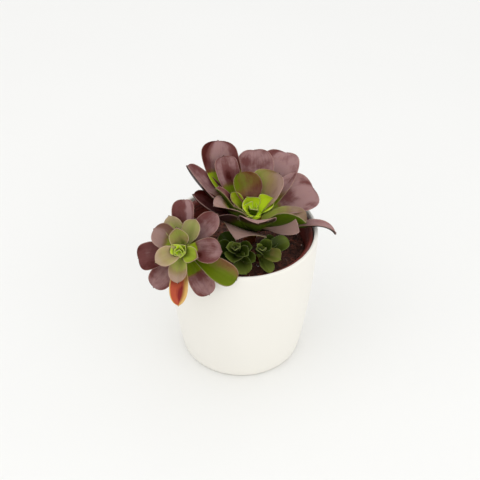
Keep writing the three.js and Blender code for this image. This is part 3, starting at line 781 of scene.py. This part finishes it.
# %% Main rosette
MAIN = dict(
    crown=(10.5, 6.5, 129), axis=(0, 0, 1), leaves=33, first_azimuth=227.5,
    bud=dict(leaflets=4, size=1, centre=(-2, 0), pale=0.4, milk=0),
    stem=dict(radius=5.2, path=((5, 3, 90), (6.5, 4, 108), (10.5, 6.5, 126), (10.5, 6.5, 132))),
    young=dict(height=2, length=11, width=10, pitch=70, curl=0, droop=0, fold=24, cup=0.4,
               thick=1.5, root=0.6, foot=0.4, green=1.4, soft=0.4, maroon=0, lime=1),
    old=dict(height=-9, length=70, width=31, pitch=20, curl=55, droop=40, fold=15, cup=0.25,
             thick=2.4, root=3.5, foot=0.26, green=0.3, soft=0.3, maroon=0.2, lime=0.2),
    missing=(4, 6, 9, 14, 17, 24, 29, 31, 32),
    own={
        0: dict(pitch=62),
        1: form(12, 18, 18, 56, twist=30, blunt=3, root=5),
        2: form(150, 16, 19, 74, twist=-30, root=4, blunt=3),
        3: form(200, 15, 15, 48, twist=-60, blunt=3, root=1.5),
        5: form(178, 28, 10, 50, twist=-60, blunt=3, root=4),
        7: form(127, 37, 26, 64, curl=-5, sway=-5, root=3.5, blunt=3, foot=0.12),
        8: form(205, 27, 16, 36, height=-4, curl=30),
        10: form(190, 51, 12, 40, height=-8, curl=36, droop=30),
        11: form(341, 44, 32, 14, height=-8, curl=12, droop=10, fold=35, twist=-30),
        12: form(45, 40, 34, 58, curl=-5, droop=5, root=3.5, blunt=3, foot=0.12),
        13: form(213, 54, 28, 38, height=-9, curl=36, droop=75, fold=7, blunt=2,
                 rounding=0.75, lopsided=0.15),
        15: form(152, 58, 20, 38, curl=26, droop=0, sway=-43, fold=8, cup=0.1,
                 blunt=6, widest=0.74, foot=0.15),
        16: form(273, 54, 30, 40, height=-12, curl=28, droop=62, fold=8, cup=0.12, twist=-6),
        18: form(187, 64, 27, 38, height=-16, curl=8, droop=0, twist=-10, lopsided=0.2),
        19: form(325, 43, 18, 14, height=-10, curl=12, droop=5, fold=20, cup=0,
                 foot=0.1, taper=3, twist=55, lopsided=0.6),
        20: form(90, 63, 32, 32, curl=8, blunt=2.5),
        21: form(245, 42, 38, 38, height=-14, curl=5, droop=110, fold=3, cup=0,
                 widest=0.55, blunt=1.6, rounding=1.1, twist=-7),
        22: form(28, 57.5, 38, 15, curl=0, droop=20, sway=8, twist=32),
        23: form(163, 73, 30, 28, curl=30, droop=0, sway=15, lopsided=0.3),
        25: form(62, 74, 34, 32, height=-11, curl=6, droop=50, sway=8, twist=6,
                 fold=8, notch=2.2, notch_at=-0.1),
        26: form(208, 44, 28, 30, height=-12, curl=25, droop=60, fold=7, twist=35),
        27: form(353, 68, 10, 8, height=-12, curl=11, droop=80, twist=-17),
        28: form(152, 72, 31, 22, height=-2, curl=50, droop=25, sway=-60, blunt=4, widest=0.74),
        30: form(20, 38, 20, 14, height=-11, curl=-12),
    },
    colours={
        0: dict(pale=0.6),
        1: dict(lime=0.95, pale=0.5),
        2: dict(lime=0.9, pale=0.7),
        3: dict(lime=1, pale=0.8),
        5: dict(green=1.3, soft=0.8, lime=0.6, blush=0.15, tilt=0.2, pale=0.3),
        7: dict(green=1.3, soft=0.8, lime=0.1, blush=0.28, tilt=-0.12, heel_and_shade=0.4, rim_dark=0.3, maroon=0.4),
        8: dict(lime=0.5, green=0.8, under=0.8),
        10: dict(green=0.4, maroon=0.4, pale=0.3, under=0.95),
        11: dict(green=0.7, soft=0.5, lime=0.6, blush=0.3, maroon=0.1, dusk=0.25, milk=0.3, under=0.95),
        12: dict(green=1.1, soft=0.8, lime=0.35, blush=0.55, tilt=-0.5, maroon=0.1, rim_dark=0.05, milk=0.15),
        13: dict(maroon=0, under=0.62, pale=0.4, milk=0.1),
        15: dict(green=0.6, soft=0.15, lime=0.3, maroon=0.2, spots=((0.72, 0, 0.18, 0.8),)),
        16: dict(maroon=0.1, under=0.45, pale=0.4),
        18: dict(maroon=0.5, green=0.2, shaded_half=-0.6),
        # 19 and 21 face down into shade: their low maroon and their milk are painted light that lifts them
        19: dict(green=0.2, maroon=-0.8, under=0, milk=0.1),
        20: dict(maroon=0.1, spots=((0.8, 0.5, 0.14, 0.45),)),
        21: dict(green=0.1, maroon=-0.2, under=0.7, milk=0.12),
        # 22's first two spots are painted shade, where the surface of the leaf turns away from the light
        22: dict(green=0.4, soft=0.2, maroon=-0.05, rim_dark=0.15,
                 spots=((0.94, 0.6, 0.12, 0.5), (0.55, 0.3, 0.2, 0.65), (0.8, -0.9, 0.15, 0.3))),
        23: dict(maroon=0.15, shaded_half=-0.2),
        25: dict(maroon=0, rim_dark=0.15, spots=((0.93, 0.8, 0.14, 0.6),)),
        26: dict(under=0.5, maroon=0.3),
        27: dict(maroon=0),
        28: dict(green=0.66, soft=0.12, tilt=-0.3, lime=0.5, maroon=0, flank_and_sheen=0.8,
                 spots=((0.95, 0.8, 0.2, 0.6),)),
    })

# %% [markdown]
# ## The side rosette
#
# A younger rosette on a thin stem that has grown out over the rim, so its axis leans to the front. Its
# leaves are shorter and rounder, and number 13 has turned orange and is dying off.

# %% Side rosette
SIDE = dict(
    crown=(-45, -45.5, 137), axis=(-0.1, -0.74, 0.66), leaves=24, first_azimuth=271,
    bud=dict(leaflets=4, size=1.6, centre=(-2.5, -3), pale=0.4, milk=0.1),
    stem=dict(radius=3.6, path=((-26, -20, 92), (-29, -23, 108), (-36, -32, 124), (-43.5, -42, 134),
                                (-45.3, -46.5, 138))),
    young=dict(height=4, length=8, width=8, pitch=70, curl=0, droop=0, fold=30, cup=0.45,
               thick=1.5, root=0.6, foot=0.36, taper=1.8, green=1.3, soft=0.4, maroon=0, lime=1),
    old=dict(height=-7, length=42, width=23, pitch=5, curl=10, droop=10, fold=12, cup=0.25,
             thick=2.6, root=3, foot=0.2, taper=3, green=0.34, soft=0.25, maroon=0.35, lime=0.2),
    missing=(10, 16, 19, 20, 21, 22, 23),
    own={
        0: dict(centre=(-2, -3)),
        1: dict(length=11, width=10, pitch=55, centre=(-2, -3)),
        2: form(210, 26, 16, 42, curl=-10, blunt=3),
        3: form(340, 20, 14, 44, blunt=3, centre=(-1, -2)),
        4: dict(length=22, width=16, pitch=48, blunt=3),
        5: form(257, 28, 15, 30, curl=-10, sway=15, blunt=3),
        6: form(-4, 30, 21, 16, curl=-6, widest=0.7),
        7: form(146, 27, 20, 28, curl=-14, blunt=3),
        8: form(299, 39, 19, 0, height=-2, curl=-6, blunt=3, widest=0.7),
        9: form(65, 26, 15, 26, blunt=3.4),
        11: form(330, 46, 19, 8, curl=-10, droop=16, blunt=3, widest=0.72),
        12: form(113, 28, 15, 24, height=-3),
        13: form(264, 45, 15, 20, sway=8),
        14: form(45, 37, 18, 14, widest=0.7),
        15: form(192, 35, 22, 12, curl=-8, droop=16, blunt=3.4, widest=0.7, notch=1.0, notch_at=0.2),
        17: form(92, 37, 18, 6, curl=-10, droop=22, blunt=3, widest=0.7),
        18: form(232, 36, 19, 8, droop=16, blunt=3, widest=0.7),
    },
    colours={
        0: dict(pale=0.5),
        1: dict(lime=0.9, pale=0.5),
        2: dict(green=0.9, soft=0.6, lime=0.55, blush=0.3, heel_and_shade=0.2, pale=0.5, milk=0.5),
        3: dict(lime=0.5, blush=0.1, pale=0.4, milk=0.1),
        4: dict(green=1.1, soft=0.5, lime=0.35, blush=0.2, heel_and_shade=0.15, rim_dark=0.4, pale=0.5, milk=0.2),
        5: dict(green=0.8, soft=0.5, lime=0.5, blush=0.25, pale=0.4, milk=0.3),
        6: dict(green=0.35, soft=0.15, maroon=0.2, shaded_half=-0.1, spots=((0.4, -0.5, 0.16, 0.8),)),
        7: dict(green=0.55, soft=0.4, maroon=0.2, lime=0.5, shaded_half=-0.4, tilt=0.2, milk=0.1),
        8: dict(green=0.5, soft=0.12, maroon=0.15, lime=0.2, shaded_half=-0.1, spots=((0.5, 0.1, 0.25, 0.6),)),
        9: dict(green=1.1, soft=0.6, lime=0.35, blush=0.2, pale=0.4, milk=0.4),
        11: dict(green=1.3, soft=0.3, lime=0.1, blush=0.15, tilt=0.35, pale=0.3, maroon=0.2),
        12: dict(green=0.9, soft=0.6, lime=0.8, maroon=0, blush=0.1, milk=0.6),
        13: dict(ember=1, green=0.3, soft=0.3, maroon=0.05, spots=((0.8, 0.3, 0.3, 0.8),)),
        14: dict(green=0.25, maroon=0.25, shaded_half=0.2),
        15: dict(green=0.3, maroon=0.5, shaded_half=0.1),
        17: dict(maroon=0.35, shaded_half=0.2,
                 spots=((0.5, 0.2, 0.2, 0.6), (0.6, -0.55, 0.09, -0.9), (0.75, -0.5, 0.09, -0.9),
                        (0.9, -0.45, 0.09, -0.9))),
        18: dict(green=0.25, maroon=0.15),
    })

# %% [markdown]
# ## The two offsets
#
# Small rosettes in the shade of the others. They get little light, so they have stayed dark green
# nearly all over, and both share one young and one old leaf.

# %% Offsets
OFFSET_YOUNG = dict(height=5, length=8, width=7, pitch=75, curl=0, droop=0, fold=30, cup=0.5,
                    thick=1.4, root=0.5, foot=0.4, green=3, soft=0.4, maroon=0, lime=0.3)
OFFSET_OLD = dict(height=-3, length=23, width=14, pitch=15, curl=10, droop=15, fold=16, cup=0.3,
                  thick=2, root=1.8, foot=0.3, green=3, soft=0.4, maroon=0, lime=-0.1)

FRONT = dict(
    crown=(-4, -24.5, 116.5), axis=(-0.1, -0.5, 0.86), leaves=13, first_azimuth=268,
    bud=dict(leaflets=3, size=1, centre=(0, 0), pale=0.1, milk=0),
    stem=dict(radius=2.6, path=((-2, -20, 96), (-3, -21.5, 106), (-4.2, -25.5, 118.5))),
    young=OFFSET_YOUNG, old=OFFSET_OLD, missing=(4, 9),
    own={
        1: dict(length=8, width=9, pitch=58),
        2: dict(length=11, width=11, pitch=55),
        3: form(322, 18, 12, 44),
        5: form(266, 16, 17, 40, blunt=3),
        6: form(2, 15, 12, 36),
        7: dict(azimuth=170, length=17),
        8: form(292, 20, 15, 14, curl=-8, blunt=3),
        10: dict(azimuth=209, length=19),
        11: form(326, 18, 11, 22, height=-1),
        12: dict(azimuth=130, length=19, pitch=20),
    },
    colours={
        3: dict(lime=-0.3), 5: dict(lime=0.1), 6: dict(lime=-0.3), 7: dict(lime=-0.5), 8: dict(lime=0.2),
        10: dict(lime=-0.5), 11: dict(lime=-0.2), 12: dict(lime=-0.8),
    })

RIGHT = dict(
    crown=(14, -23, 113.5), axis=(0.2, -0.4, 0.9), leaves=9, first_azimuth=278,
    bud=dict(leaflets=3, size=1, centre=(0, 0), pale=0.1, milk=0),
    stem=dict(radius=2.4, path=((12, -19, 96), (12.6, -20, 105), (14.4, -24, 115.5))),
    young=OFFSET_YOUNG, old=OFFSET_OLD, missing=(5, 7),
    own={
        1: form(40, 13, 11, 50),
        2: dict(length=8, pitch=62),
        3: form(333, 18, 14, 25, blunt=3),
        4: form(50, 18, 12, 8),
        6: form(24, 25, 14, 20, height=0),
        8: dict(length=18, width=12, pitch=14, fold=30),
    },
    colours={1: dict(lime=-0.2), 3: dict(blush=0.25, lime=0.2), 4: dict(lime=-0.5), 6: dict(lime=-0.1),
             8: dict(lime=0.4)})

# %% [markdown]
# ## From tables to leaves
#
# Each row of a plant becomes a dictionary with all of the leaf's values: the plain ones, then the ones
# that change with age, then this leaf's own. A few upright leaflets close the heart.

# %% Leaves from the tables
BUD_SIZE, BUD_PITCH = (0.45, 0.4), (84, -26)  # in the middle, and how much more it is on the outside
BUD_ROOT = 1.6


def aged(plant, age, azimuth, n):
    """A leaf of this age that follows the rule. Its number n only tells it from the others."""
    leaf = dict(PLAIN, **PLAIN_COLOUR, n=n, age=age, azimuth=azimuth)
    for key, young in plant["young"].items():
        leaf[key] = young + (plant["old"][key] - young) * age ** PACE.get(key, 1)
    return leaf


def bud_of(plant):
    """The leaflets that close the heart, each smaller and more upright than the one outside it."""
    bud = plant["bud"]
    leaflets = []
    for i in range(bud["leaflets"]):
        share = 1 - i / bud["leaflets"]
        leaflet = aged(plant, 0, plant["first_azimuth"] - GOLDEN_ANGLE * (i + 1), -i)
        size = bud["size"] * (BUD_SIZE[0] + BUD_SIZE[1] * share)
        leaflet.update(
            length=leaflet["length"] * size, width=leaflet["width"] * size, root=BUD_ROOT * share,
            pitch=BUD_PITCH[0] + BUD_PITCH[1] * share, centre=bud["centre"], pale=bud["pale"],
            milk=bud["milk"])
        leaflets.append(leaflet)
    return leaflets


def leaves_of(plant):
    """Every leaf of a plant as a dictionary of its values."""
    leaves = []
    for n in range(plant["leaves"]):
        if n not in plant["missing"]:
            leaf = aged(plant, n / (plant["leaves"] - 1), plant["first_azimuth"] + GOLDEN_ANGLE * n, n)
            leaf.update(plant["own"].get(n, {}))
            leaf.update(plant["colours"].get(n, {}))
            leaves.append(leaf)
    return leaves + bud_of(plant)


def plant_frame(plant):
    """The rosette's own axes as columns: right, back and up out of its heart."""
    normal = np.array(plant["axis"], float) / np.linalg.norm(plant["axis"])
    right = unit(np.array([1, 0, 0]) - normal * normal[0])
    return np.stack([right, np.cross(normal, right), normal], 1), np.array(plant["crown"], float)


# %% [markdown]
# ## What the skin reads
#
# The pattern of a leaf follows its form: the purple comes in from the tip and the margins, the foot
# stays green, and the back turns dark near the tip. So every point carries how purple and how dark it
# is, and the finish only blends paints by that. A painted picture could do it too, but marks on the
# points follow the formula of each leaf and need no file.

# %% Marks of a leaf
GREEN_ALL_OVER = 2  # a leaf whose green reaches so far beyond its tip never turns
BLUSH_RISE, TILT_RISE, HEEL_RISE, HEEL_FALL = (3, 0.6), (2.5, 0.5), (5, 0.8), (-3.2, -2.4)
RIM_VEIL = 0.3  # how much more purple the margins are
BACK_FROM, BACK_TURN, BACK_AGE = 0.4, 0.35, (1.6, 0.2)  # depth where the back begins; how it darkens
MAROON_RANGE = (-0.3, 1.2)
LIME_FADE, LIME_TIP = 0.3, 0.6  # the fresh green fades up the leaf, but for green leaves' tips
HALF_WIDTH = 0.35  # as a share of a usual leaf's length, so that spots are round
EMBER_LEFT = 0.7  # how much wider the straw margin of a dying leaf is on its left


def smooth(x):
    x = np.clip(x, 0, 1)
    return x * x * (3 - 2 * x)


def ramp(s, steepness, offset):
    return smooth(s * steepness - offset)


def flush_of(leaf, s, t, depth):
    """How purple each point is, from 0 for green to 1."""
    turning = smooth((s - leaf["green"]) / leaf["soft"] + 0.5)
    veil = leaf["blush"] * ramp(s, *BLUSH_RISE) + leaf["tilt"] * t * ramp(s, *TILT_RISE)
    # more purple low on the foot: partly the leaf's own, partly painted shade where the foot curves from the
    # light
    veil = veil + leaf["heel_and_shade"] * ramp(s, *HEEL_FALL) * ramp(s, *HEEL_RISE)
    veil = veil + RIM_VEIL * np.abs(t) ** 3 * (turning + leaf["blush"])
    above = np.clip(turning + veil, 0, 1)
    if leaf["green"] > GREEN_ALL_OVER:
        below = 0 * s
    else:
        below = smooth((s - leaf["under"]) / BACK_TURN) * min(1, BACK_AGE[0] * leaf["age"] + BACK_AGE[1])
    return above + (below - above) * (depth > BACK_FROM)


def maroon_of(leaf, s, t):
    """How dark the purple is at each point."""
    # one half darker is painted shade of the half turned from the light; darker flanks paint a sheen in the
    # middle
    maroon = leaf["maroon"] + leaf["shaded_half"] * t + leaf["flank_and_sheen"] * t * t + leaf["dusk"] * (s - 0.5) * 2
    maroon = maroon + leaf["rim_dark"] * np.abs(t) ** 3
    # spots: bruises, and painted shade where a leaf's surface turns away
    for along, across, reach, darkness in leaf["spots"]:
        away = ((s - along) ** 2 + (HALF_WIDTH * (t - across)) ** 2) / reach ** 2
        maroon = maroon + darkness * np.exp(-2 * away)
    return np.clip(maroon, *MAROON_RANGE)


def leaf_marks(leaf, s, t, depth):
    """All that the finish reads at each point. The margin is how far away it is, in millimetres."""
    whole = np.ones(len(s))
    lime = leaf["lime"] * (1 - LIME_FADE * s) + LIME_TIP * (leaf["green"] > GREEN_ALL_OVER) * s * s
    margin = leaf["width"] / 2 * spoon(s, leaf) * (1 - np.abs(t))
    return dict(
        flush=flush_of(leaf, s, t, depth), below=depth, maroon=maroon_of(leaf, s, t), lime=lime,
        ember=leaf["ember"] * whole, tone=rng.uniform(0, 1) * whole, pale=leaf["pale"] * whole,
        milk=leaf["milk"] * whole, margin=margin * (1 - EMBER_LEFT * leaf["ember"] * np.sign(t)))


# %% [markdown]
# Beside its marks a leaf carries a flat place for every point, as if all leaves lay side by side on a
# sheet. The veins are drawn there, so that they run along each leaf and bend with it.

# %% Growing a leaf
SHEET_SPACING = 40  # from one leaf to the next on that sheet, in millimetres


def grow_leaf(leaf, axes, crown):
    """One leaf: a copy of the blank, its points moved by the formula, its colours marked on it."""
    made = copy_of(blank)
    s, t, depth = BLANK_S, BLANK_T, BLANK_DEPTH
    waves = (rng.uniform(0, 6), rng.uniform(0, 6))
    place_points(made.data, (blade(leaf, s, t, depth, waves) @ axes.T + crown) * MM)
    for name, values in leaf_marks(leaf, s, t, depth).items():
        mark(made.data, name, values)
    across = t * leaf["width"] / 2 + SHEET_SPACING * leaf["n"]
    mark_place(made.data, "sheet", np.stack([across, s * leaf["length"], depth * 0], -1))
    return made


# %% [markdown]
# ## Hairs on the margins
#
# Fine pale hairs stand along the margin of every leaf and point a little forward. Particles or hair
# curves aren't kept in a plain model, so each hair is a spike with three sides. All hairs of a plant
# are one mesh, because thousands of separate objects would be slow.

# %% Margin hairs
HAIR_SPACING, HAIR_LENGTH, HAIR_WIDTH = 0.75, 0.8, 0.11
HAIR_STRETCH, HAIR_LENGTHS = (0.12, 0.985), (0.5, 1.1)  # where on the leaf, and shares of the length
HAIR_FORWARD, HAIR_LOOSE = 0.5, 0.2


def hairs_of_side(leaf, side, count):
    """Roots and tips of the hairs along one margin of a leaf."""
    s = np.sort(np.array([rng.uniform(*HAIR_STRETCH) for _ in range(count)]))
    t, depth, calm = np.full(count, side * 0.995), np.full(count, 0.5), (0, 0)
    root = blade(leaf, s, t, depth, calm)
    inside = blade(leaf, s, t * 0.9, depth, calm)
    ahead = blade(leaf, np.minimum(s + 0.02, 1), t, depth, calm)
    loose = np.array([[rng.uniform(-1, 1) for _ in range(3)] for _ in range(count)])
    out = unit(unit(root - inside) + HAIR_FORWARD * unit(ahead - root + 1e-6) + HAIR_LOOSE * loose)
    length = HAIR_LENGTH * np.array([rng.uniform(*HAIR_LENGTHS) for _ in range(count)])
    return zip(root, root + out * length[:, None])


def margin_hairs(leaf, axes, crown):
    """Root and tip of the fine hairs along both margins of a leaf."""
    count = int(leaf["length"] / HAIR_SPACING)
    return [(axes @ root + crown, axes @ tip + crown)
            for side in (-1, 1) for root, tip in hairs_of_side(leaf, side, count)]


def hair_piece(name, hairs):
    """All hairs of a plant as slender three-sided spikes, with their roots sunk in the margin."""
    spike = add(bpy.ops.mesh.primitive_cone_add, vertices=3, radius1=HAIR_WIDTH / 2, radius2=0, depth=1)
    base = points_of(spike.data) + [0, 0, 0.5]
    faces = [tuple(p.vertices) for p in spike.data.polygons]
    points, all_faces = [], []
    for root, tip in hairs:
        way = Vector(tip - root)
        turn = np.array(way.to_track_quat("Z", "X").to_matrix())
        all_faces += [tuple(len(points) + i for i in face) for face in faces]
        points += list((base * [1, 1, way.length]) @ turn.T + root)
    mesh = spike.data
    mesh.clear_geometry()
    mesh.from_pydata([p * MM for p in points], [], all_faces)
    spike.name = mesh.name = name
    return spike


# %% [markdown]
# ## Stems
#
# A stem carries the scars of the leaves it has shed: low ridges that wind up it, close together. It
# is a cylinder cut into many rings, moved onto the stem's path in code, since it bends and swells as
# it goes. Near its top it turns green, where the youngest leaves grow from it.

# %% Stems
STEM_SIDES, STEM_RINGS = 28, 60
SCAR, SCAR_SPACING, SWELLING = 0.06, 3.1, 0.05
GREEN_FROM, GREEN_TURN = 0.8, 0.12
FAR_FROM_MARGIN = 9  # a stem has no margin, so its points are told that it is far away


def curve_through(path):
    """A function from 0..1 to the points of a smooth curve through the path."""
    path = [Vector(p) for p in path]
    path = [path[0] * 2 - path[1]] + path + [path[-1] * 2 - path[-2]]
    spans = len(path) - 3

    def at(share):
        place = min(share * spans, spans - 1e-6)
        i, f = int(place), place - int(place)
        a, b, c, d = path[i:i + 4]
        return 0.5 * (2 * b + (c - a) * f + (2 * a - 5 * b + 4 * c - d) * f ** 2
                      + (3 * b - a - 3 * c + d) * f ** 3)

    return at


def ringed_cylinder(name):
    made = add(bpy.ops.mesh.primitive_cylinder_add, vertices=STEM_SIDES, radius=1, depth=1,
               end_fill_type="TRIFAN")
    bpy.ops.object.mode_set(mode="EDIT")
    for i in range(1, STEM_RINGS):
        bpy.ops.mesh.select_all(action="SELECT")
        bpy.ops.mesh.bisect(plane_co=(0, 0, i / STEM_RINGS - 0.5), plane_no=(0, 0, 1))
    bpy.ops.object.mode_set(mode="OBJECT")
    bpy.ops.object.shade_smooth()
    made.name = made.data.name = name
    return made


def stem_piece(name, stem):
    length = sum(math.dist(a, b) for a, b in zip(stem["path"], stem["path"][1:]))
    at = curve_through(stem["path"])
    made = ringed_cylinder(name)
    moved = []
    shares = np.clip(points_of(made.data)[:, 2] + 0.5, 0, 1)
    for (x, y, z), share in zip(points_of(made.data), shares):
        way = (at(min(share + 0.02, 1)) - at(max(share - 0.02, 0))).normalized()
        side = way.cross(Vector((0, 1, 0))).normalized()
        back = way.cross(side)
        scar = SCAR * math.sin(2 * math.pi * share * length / SCAR_SPACING + 2 * math.atan2(y, x))
        wide = stem["radius"] * (0.97 + scar + SWELLING * noise.noise(Vector((x, y, z * 8))))
        moved.append(at(share) + (side * x + back * y) * wide)
    place_points(made.data, np.array(moved) * MM)
    mark_place(made.data, "sheet", moved)
    top = smooth((shares - GREEN_FROM) / GREEN_TURN)
    marks = dict(flush=0.5 - 0.5 * top, below=0, maroon=0.9, lime=top, ember=0, tone=0.5, pale=0, milk=0,
                 margin=FAR_FROM_MARGIN)
    for key, value in marks.items():
        mark(made.data, key, np.zeros(len(moved)) + value)
    return made


# %% [markdown]
# ## Skin of the leaves
#
# The skin is smooth and waxy. Pigment lies over the green like ink in water: it gathers along the
# veins and towards the tip and thins out to rust, olive and lime. The margin is a fine pale line, and
# the back of a leaf is a deeper green. Four noises of different size break all of this up, and two
# of them are drawn out along the leaf, into streaks and veins.

# %% Leaf skin
VEIN_STRETCH = (1, 0.14, 1)
HALF = 0.5  # the noises lie round this, so it is taken off where they may darken or lighten


def purple_of(skin, dark, back):
    """Greyish pink, partly a painted sheen, over purple to maroon; nearly black on the back, partly painted
    shade.
    """
    purple = skin.mix(skin.step(dark, 0.0, 0.5), paint(158, 123, 121), paint(108, 62, 60))
    purple = skin.mix(skin.step(dark, 0.5, 1.0), purple, paint(72, 18, 12))
    return skin.mix(back, purple, paint(44, 22, 20))


def rust_of(skin, dark, back):
    """The brown between green and purple, and on the back nearly black, partly painted shade."""
    rust = skin.mix(skin.step(dark, 0.0, 1.0), paint(134, 108, 62), paint(88, 38, 10))
    return skin.mix(back, rust, paint(48, 34, 14))


def ember_of(skin, flush, maroon, bands, margin):
    """A dying leaf: yellow at the foot, orange red above, with darker stains and a straw margin."""
    redder = skin.step(flush + (bands - HALF) * 0.5, 0.1, 0.9)
    glow = skin.mix(redder, paint(206, 186, 70), paint(182, 84, 58))
    glow = skin.mix(skin.step(maroon + (bands - HALF) * 0.5, 0.35, 0.65), glow, paint(132, 40, 38))
    return skin.mix(1 - skin.step(margin, 0.3, 1.6), glow, paint(214, 176, 96))


def leaf_skin(name, gloss, fresh, olive, deep, pale_margin):
    """The finish of a plant: how glossy it is, its greens from fresh to the deep back, and its margin."""
    skin = Finish(name, Subsurface_Weight=0.1, Subsurface_Scale=0.002,
                  Subsurface_Radius=(1.0, 0.8, 0.3), Coat_Weight=gloss, Coat_Roughness=0.3,
                  Specular_IOR_Level=0.08)
    flush, below, maroon = skin.mark("flush"), skin.mark("below"), skin.mark("maroon")
    lime, ember, margin = skin.mark("lime"), skin.mark("ember"), skin.mark("margin")
    tone, pale, milk = skin.mark("tone"), skin.mark("pale"), skin.mark("milk")
    here, veined = skin.place(), skin.stretched(skin.mark("sheet", ATTRIBUTE_PLACE), VEIN_STRETCH)
    streaks, bands = skin.noise(veined, 900, 3, 0.6), skin.noise(veined, 260)
    clouds, grain = skin.noise(here, 90), skin.noise(here, 2600, 2, 0.6)
    back = skin.step(below, 0.4, 0.6)
    green = skin.mix(skin.step(lime + (bands - HALF) * 0.25, 0, 1), olive, fresh)
    green = skin.mix(back, green, deep)
    pigment = flush + (clouds - HALF) * 0.5 + (bands - HALF) * 0.3 + (streaks - HALF) * 0.2
    dark = maroon + (clouds - HALF) + (bands - HALF) * 0.35 + (streaks - HALF) * 0.3 + (tone - HALF) * 0.1
    colour = skin.mix(skin.step(pigment, 0.1, 0.5), green, rust_of(skin, dark, back))
    colour = skin.mix(skin.step(pigment, 0.42, 0.9), colour, purple_of(skin, dark, back))
    # the cream: a pale skin on some leaves, and painted light that lifts leaves lying in shade
    colour = skin.mix(milk * (0.6 + bands * 0.8) * (1 - back), colour, paint(204, 190, 146))
    colour = skin.mix(ember, colour, ember_of(skin, flush, maroon, bands, margin))
    colour = skin.mix(skin.step(grain, 0.5, 0.75) * 0.06, colour, paint(170, 150, 138))
    edge = skin.mix(skin.step(lime, 0.4, 0.9), pale_margin, paint(222, 224, 150))
    colour = skin.mix((1 - skin.step(margin, 0.1, 0.6)) * pale, colour, edge)
    relief = skin.bump(streaks, 0.00012, 0.35, under=skin.bump(grain, 0.00004, 0.4))
    relief = skin.bump(bands, 0.0003, 0.3, under=relief)
    return skin.done(colour, 0.42 + (clouds - HALF) * 0.2 + (streaks - HALF) * 0.15, relief)


purple_skin = leaf_skin("purple_leaf_skin", 0.02, paint(214, 242, 48), paint(92, 108, 4), paint(66, 86, 4),
                        paint(206, 170, 158))
green_skin = leaf_skin("green_leaf_skin", 0.1, paint(132, 146, 60), paint(42, 56, 2), paint(28, 40, 2),
                       paint(130, 146, 84))

# %% [markdown]
# A margin hair is a pale, slightly see-through bristle. It is too thin for any pattern but a mottle.

# %% Finish of the hairs
bristle = Finish("margin_hair", Subsurface_Weight=0.2, Subsurface_Scale=0.0005)
mottle = bristle.noise(bristle.place(), 1200, 2)
hair_skin = bristle.done(bristle.mix(mottle, paint(170, 138, 130), paint(206, 184, 170)), 0.5)

# %% [markdown]
# ## Growing the plants
#
# A plant is its stem and its leaves, joined into one piece, because they grew as one. Its hairs are a
# piece of their own, with their own finish.

# %% Four plants
PLANTS = (
    ("main_rosette", MAIN, "purple_leaves", purple_skin),
    ("side_rosette", SIDE, "purple_leaves", purple_skin),
    ("front_offset", FRONT, "green_leaves", green_skin),
    ("right_offset", RIGHT, "green_leaves", green_skin),
)


def plant_piece(name, plant):
    axes, crown = plant_frame(plant)
    pieces = [stem_piece(name + "_stem", plant["stem"])]
    hairs = []
    for leaf in leaves_of(plant):
        pieces.append(grow_leaf(leaf, axes, crown))
        hairs += margin_hairs(leaf, axes, crown)
    return join(name, pieces), hair_piece(name + "_hairs", hairs)


for node, plant, slot, skin in PLANTS:
    body, hairs = plant_piece(node + "_fine", plant)
    settle(body, node, skin)
    settle(hairs, None, hair_skin)
bpy.data.objects.remove(blank)
